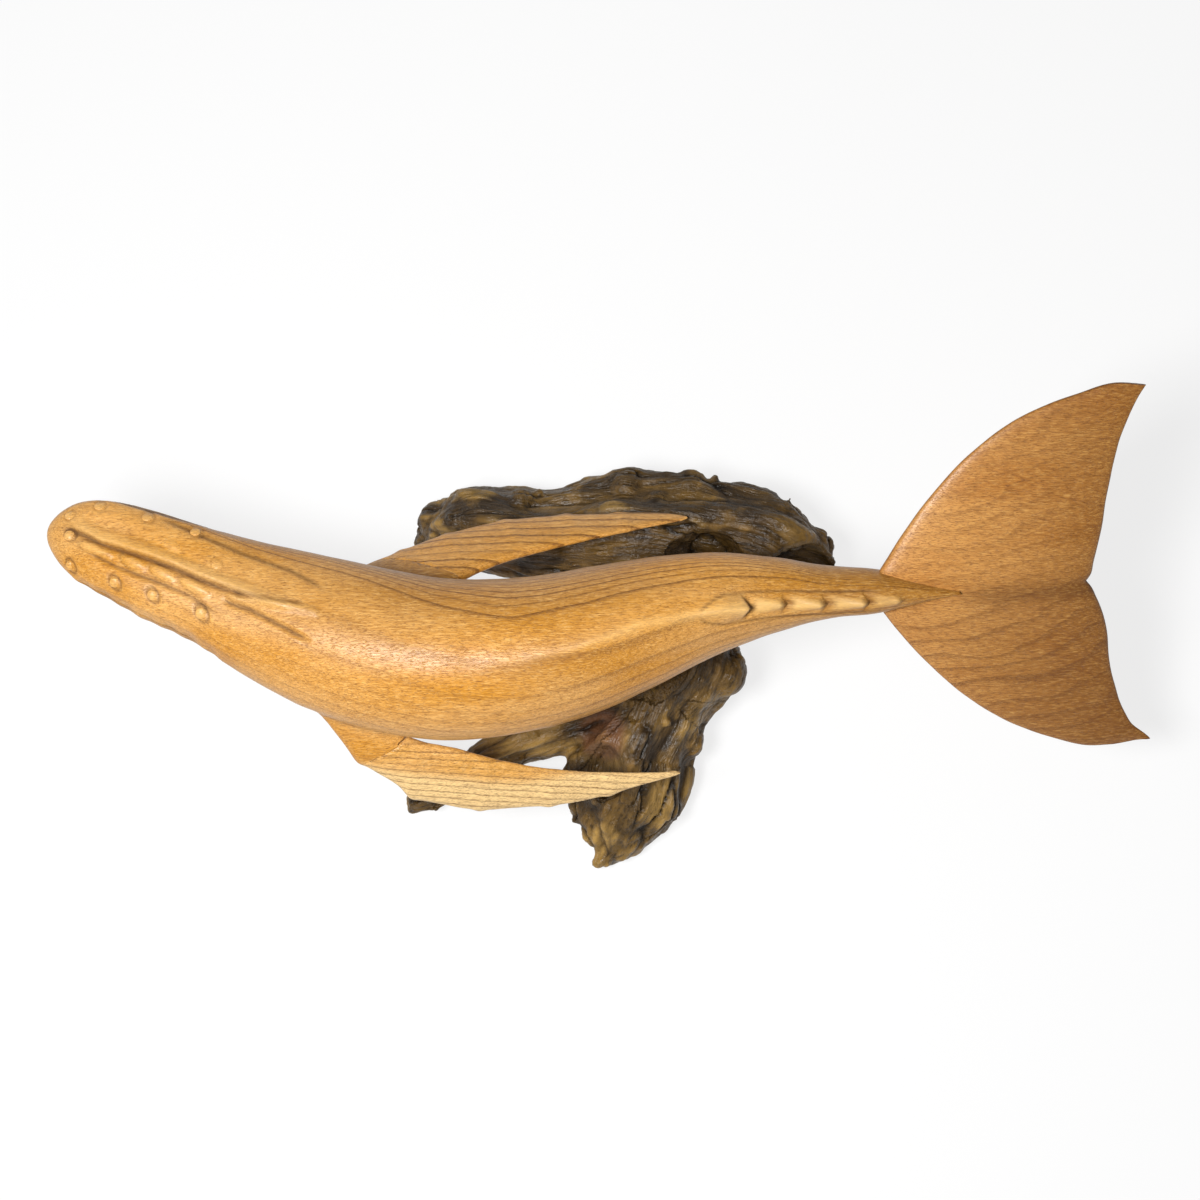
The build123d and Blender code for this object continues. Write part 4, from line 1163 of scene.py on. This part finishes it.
class WhaleRootSizes(bpy.types.PropertyGroup):
    """Sizes of the root's gnarls."""
    grid: FloatProperty(name="Grid", description="Spacing of the root's skin",
                        default=0.0011, unit="LENGTH")
    lump: FloatProperty(name="Lumps", description="Height of the lumps", default=0.0050, unit="LENGTH")
    strand: FloatProperty(name="Strands", description="Height of the long strands",
                          default=0.0024, unit="LENGTH")
    fibre: FloatProperty(name="Fibres", description="Height of the fibres",
                         default=0.0010, unit="LENGTH")
    crack: FloatProperty(name="Cracks", description="Depth of the cracks",
                         default=0.0022, unit="LENGTH")
    density: FloatProperty(name="Burrs", description="Burrs to the square metre", default=700.0)
    smallest: FloatProperty(name="Smallest", description="Smallest burr radius",
                            default=0.0015, unit="LENGTH")
    largest: FloatProperty(name="Largest", description="Largest burr radius",
                           default=0.0035, unit="LENGTH")
    lowest: FloatProperty(name="Lowest", description="Burrs start at this height",
                          default=0.010, unit="LENGTH")
    highest: FloatProperty(name="Highest", description="Burrs end at this height",
                           default=0.060, unit="LENGTH")
    seed: IntProperty(name="Seed", description="Seed of the burrs", default=7)


class WhaleColours(bpy.types.PropertyGroup):
    """Main colours of the woods and the root."""
    golden_pale: FloatVectorProperty(name="Golden, pale", description="Pale wood of body and far flipper",
                                     default=colour("#C9944E"), size=4, subtype="COLOR")
    golden_warm: FloatVectorProperty(name="Golden, warm", description="Warm wood of body and far flipper",
                                     default=colour("#BC7F22"), size=4, subtype="COLOR")
    sapwood_pale: FloatVectorProperty(name="Sapwood, pale", description="Pale wood of the near flipper",
                                      default=colour("#D29E58"), size=4, subtype="COLOR")
    sapwood_warm: FloatVectorProperty(name="Sapwood, warm", description="Warm wood of the near flipper",
                                      default=colour("#C9923E"), size=4, subtype="COLOR")
    orange_pale: FloatVectorProperty(name="Orange, pale", description="Pale wood of the fluke",
                                     default=colour("#C48C4A"), size=4, subtype="COLOR")
    orange_warm: FloatVectorProperty(name="Orange, warm", description="Warm wood of the fluke",
                                     default=colour("#AE7230"), size=4, subtype="COLOR")
    root_dark: FloatVectorProperty(name="Root, dark", description="Dark parts of the root",
                                   default=colour("#42311B"), size=4, subtype="COLOR")
    root_light: FloatVectorProperty(name="Root, light", description="Light parts of the root",
                                    default=colour("#765929"), size=4, subtype="COLOR")


class WhaleStage(bpy.types.PropertyGroup):
    """Camera and light."""
    lens: FloatProperty(name="Lens", description="Focal length in millimetres", default=72.93)
    key: FloatProperty(name="Key", description="Key light", default=13.0, subtype="POWER")
    fill: FloatProperty(name="Fill", description="Fill light", default=0.5, subtype="POWER")
    sky: FloatProperty(name="Sky", description="Strength of the white surround", default=0.15)


# Operators

# Floor half size and wall height in millimetres, grey and glow of both
FLOOR_HALF, WALL_HEIGHT, FLOOR_GREY, FLOOR_GLOW = 15000, 2400, "#707070", 0.80
# Lights by the name of their power: place and size in metres
LIGHTS = {"key": ((-0.25, -0.20, 0.96), 0.24), "fill": ((-0.9, 0.6, 0.9), 0.8)}
LIGHT_AIM = (0.0, 0.0, 0.1)
# Camera in metres, with its sensor width in millimetres
CAMERA_PLACE, CAMERA_AIM, SENSOR = (0.0, -0.2107, 1.188), (0.0, 0.018, 0.112), 36.0


def aim(thing, place, target):
    """Put a light or camera at a place and point it at a target."""
    thing.location = place
    thing.rotation_euler = (Vector(target) - Vector(place)).to_track_quat("-Z", "Y").to_euler()
    return thing


def material_of(name):
    """Material that the materials operator has made."""
    found = bpy.data.materials.get(name)
    if found is None:
        raise RuntimeError("the materials are made first: " + name)
    return found


class WHALE_OT_materials(bpy.types.Operator):
    """Make the woods and the varnish"""
    bl_idname = "whale.materials"
    bl_label = "Materials"

    def execute(self, context):
        tones = context.scene.whale_colours
        # Each far colour is painted shade; each light tone also lays painted glint and painted highlight
        carved_hardwood("oiled golden hardwood", tones.golden_pale, tones.golden_warm,
                        tone_codes=("#6B3E14", "#58320F", "#E8BE78"), turn=(0, 0, 0), fleck_mm=6.0,
                        bands=0.10, painted_glints=0.36, far="#8A5E24")
        carved_hardwood("oiled sapwood edge", tones.sapwood_pale, tones.sapwood_warm,
                        tone_codes=("#6B4218", "#604020", "#EAC88C"), turn=(0, 0, 0.09), fleck_mm=9.0,
                        bands=0.12, painted_glints=0.30, sap="#E2BF84")
        carved_hardwood("oiled orange hardwood", tones.orange_pale, tones.orange_warm,
                        tone_codes=("#643810", "#643C16", "#D8A860"), turn=(0, 0, 0.22), fleck_mm=4.5,
                        bands=0.18, painted_glints=0.34, far="#7C4E1C")
        dark_varnished_root("dark varnished root", tones.root_dark, tones.root_light)
        return {"FINISHED"}


class WHALE_OT_body(bpy.types.Operator):
    """Carve the whale's body with its two shoulder stubs"""
    bl_idname = "whale.body"
    bl_label = "Body"

    def execute(self, context):
        sizes = context.scene.whale_body
        wood = material_of("oiled golden hardwood")
        body = body_tube()
        stubs, seams = [], []
        for pose in (LEFT_POSE, RIGHT_POSE):
            stub = flipper_blade("shoulder", pose, sizes.knob / MM)
            middle, out = glue_plane(pose)
            slice_off(stub, middle, out)
            points = read(stub)[0]
            _, _, u, v, _, _ = local(points)
            seams.extend(points[np.abs(np.hypot(u, v) - 1) < SEAM_BAND])
            stubs.append(stub)
        unite(body, stubs)
        ease_near(body, seams, sizes.fillet / MM, SEAM_ROUNDS)
        carve_body(body, sizes)
        body = join([body, head_knobs(wood, sizes)], "carved_body")
        dress(body, wood, "whale_body")
        return {"FINISHED"}


class WHALE_OT_flippers(bpy.types.Operator):
    """Make the two glued-on flippers"""
    bl_idname = "whale.flippers"
    bl_label = "Flippers"

    def execute(self, context):
        sizes = context.scene.whale_limbs
        for node, pose, wood, slot, slant, spacing, strength in (
            ("left_flipper", LEFT_POSE, "oiled sapwood edge", "sapwood_hardwood", 0.04, 3.4, 0.70),
            ("right_flipper", RIGHT_POSE, "oiled golden hardwood", "golden_hardwood", 0.33, 6.0, 1.0),
        ):
            blade = flipper_blade("carved_" + node, pose, sizes.knob / MM)
            middle, out = glue_plane(pose)
            slice_off(blade, middle, -out)
            points, _ = dent(blade, sizes.dent / MM, FLIPPER_DENTS)
            root, length_way, lead_way, _ = flipper_frame(pose)
            run = (points - root) @ length_way / pose.length
            chord = (points - root) @ lead_way / CHORD
            paint(blade, "sap", step(0.25, 0.75, chord + 0.5 * step(0.45, 0.95, run)))
            paint(blade, "groove", np.zeros(len(points)))
            paint(blade, "ring", (chord * CHORD + slant * run * pose.length) / spacing)
            paint(blade, "lines", np.full(len(points), strength))
            dress(blade, material_of(wood), node)
        return {"FINISHED"}


class WHALE_OT_fluke(bpy.types.Operator):
    """Make the tail fluke"""
    bl_idname = "whale.fluke"
    bl_label = "Fluke"

    def execute(self, context):
        sizes = context.scene.whale_limbs
        blade = fluke_blade("carved_tail_fluke")
        points, normals = dent(blade, sizes.dent / MM, FLUKE_DENTS)
        base, back_way, side_way, up_way = fluke_frame()
        reach, run = (points - base) @ back_way / REACH, (points - base) @ side_way / SPAN
        near = 1 - step(-0.25, 0.15, run)
        # painted shade along the valley between the lobes
        seam = bell(run + 0.03, 0.06) * step(0.20, 0.42, reach)
        # painted shade on the sides that turn away from the top
        rim = 1 - step(0.30, 0.85, np.abs(normals @ up_way))
        # painted shade towards the trailing edge and on the near lobe, and along the seam
        outer = REACH_SHADE * step(0.05, 1.0, reach) + NEAR_SHADE * near + SEAM_SHADE * seam
        wave = sum(height * long_ripple(points, noise) for height, noise in FLUKE_WAVES)
        paint(blade, "groove", np.clip(RIM_DARK * rim + SEAM_DARK * seam, 0, 0.7))
        paint(blade, "outer", np.clip(outer, 0, 1))
        paint(blade, "ring", (points[:, 1] - FLUKE_SLANT * points[:, 0] + wave) / FLUKE_SPACING)
        paint(blade, "lines", 0.12 + 0.36 * near)
        dress(blade, material_of("oiled orange hardwood"), "tail_fluke")
        return {"FINISHED"}


class WHALE_OT_root(bpy.types.Operator):
    """Gnarl the root base"""
    bl_idname = "whale.root"
    bl_label = "Root"

    def execute(self, context):
        sizes = context.scene.whale_root
        varnish = material_of("dark varnished root")
        root = new_object("gnarled_root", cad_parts["root_base"].data.copy())
        with editing(root) as edit:
            bmesh.ops.remove_doubles(edit, verts=edit.verts, dist=ROOT_WELD * MM)
        burrs = new_object("root_burrs", root.data.copy())
        run_group(burrs, burr_group(varnish), {
            "Density": sizes.density, "Smallest": sizes.smallest, "Largest": sizes.largest,
            "Lowest": sizes.lowest, "Highest": sizes.highest, "Seed": sizes.seed})
        root = join([root, burrs], "gnarled_root")
        fuse(root, sizes.grid / MM, FUSE_ROUNDS)
        gnarl_root(root, sizes)
        dress(root, varnish, "root_base")
        return {"FINISHED"}


class WHALE_OT_stage(bpy.types.Operator):
    """Set the floor, lights and camera"""
    bl_idname = "whale.stage"
    bl_label = "Stage"

    def execute(self, context):
        stage = context.scene.whale_stage
        corners = [(x * FLOOR_HALF, y * FLOOR_HALF) for x, y in ((-1, -1), (1, -1), (1, 1), (-1, 1))]
        walls = [(side, (side + 1) % 4, (side + 1) % 4 + 4, side + 4) for side in range(4)]
        floor = new_mesh("floor", [(x, y, height) for height in (0, WALL_HEIGHT) for x, y in corners],
                         [(0, 1, 2, 3)] + walls)
        material, tree = start_material("white studio floor")
        skin = put(tree, "ShaderNodeBsdfPrincipled",
                   {"Base Color": colour(FLOOR_GREY), "Roughness": 1.0, "Emission Color": colour("#FFFFFF"),
                    "Emission Strength": FLOOR_GLOW, "Specular IOR Level": 0.0})
        put(tree, "ShaderNodeOutputMaterial", {"Surface": skin.outputs[0]})
        floor.data.materials.append(material)
        for name, (place, size) in LIGHTS.items():
            lamp = bpy.data.lights.new(name, "AREA")
            lamp.size = size
            lamp.energy = getattr(stage, name)
            aim(new_object(name, lamp), place, LIGHT_AIM)
        world = bpy.data.worlds.new("white surround")
        world.use_nodes = True
        world.node_tree.nodes["Background"].inputs["Color"].default_value = colour("#FFFFFF")
        world.node_tree.nodes["Background"].inputs["Strength"].default_value = stage.sky
        context.scene.world = world
        lens = bpy.data.cameras.new("camera")
        lens.lens = stage.lens
        lens.sensor_width = SENSOR
        lens.dof.use_dof = False
        context.scene.camera = aim(new_object("camera", lens), CAMERA_PLACE, CAMERA_AIM)
        context.scene.view_settings.view_transform = "Standard"
        return {"FINISHED"}


class WHALE_PT_panel(bpy.types.Panel):
    """Sidebar panel of the whale"""
    bl_label = "Whale"
    bl_idname = "WHALE_PT_panel"
    bl_space_type = "VIEW_3D"
    bl_region_type = "UI"
    bl_category = "Whale"

    def draw(self, context):
        for name in GROUPS:
            group = getattr(context.scene, name)
            for key in group.__annotations__:
                self.layout.prop(group, key)
        for operator in OPERATORS:
            self.layout.operator(operator.bl_idname)


GROUPS = {"whale_body": WhaleBodySizes, "whale_limbs": WhaleLimbSizes, "whale_root": WhaleRootSizes,
          "whale_colours": WhaleColours, "whale_stage": WhaleStage}
OPERATORS = (WHALE_OT_materials, WHALE_OT_body, WHALE_OT_flippers,
             WHALE_OT_fluke, WHALE_OT_root, WHALE_OT_stage)


def register():
    for kind in (*GROUPS.values(), *OPERATORS, WHALE_PT_panel):
        bpy.utils.register_class(kind)
    for name, kind in GROUPS.items():
        setattr(bpy.types.Scene, name, PointerProperty(type=kind))


def unregister():
    for name in GROUPS:
        delattr(bpy.types.Scene, name)
    for kind in (WHALE_PT_panel, *OPERATORS, *GROUPS.values()):
        bpy.utils.unregister_class(kind)


def main():
    register()
    bpy.ops.whale.materials()
    bpy.ops.whale.body()
    bpy.ops.whale.flippers()
    bpy.ops.whale.fluke()
    bpy.ops.whale.root()
    bpy.ops.whale.stage()


if __name__ == "__main__":
    main()
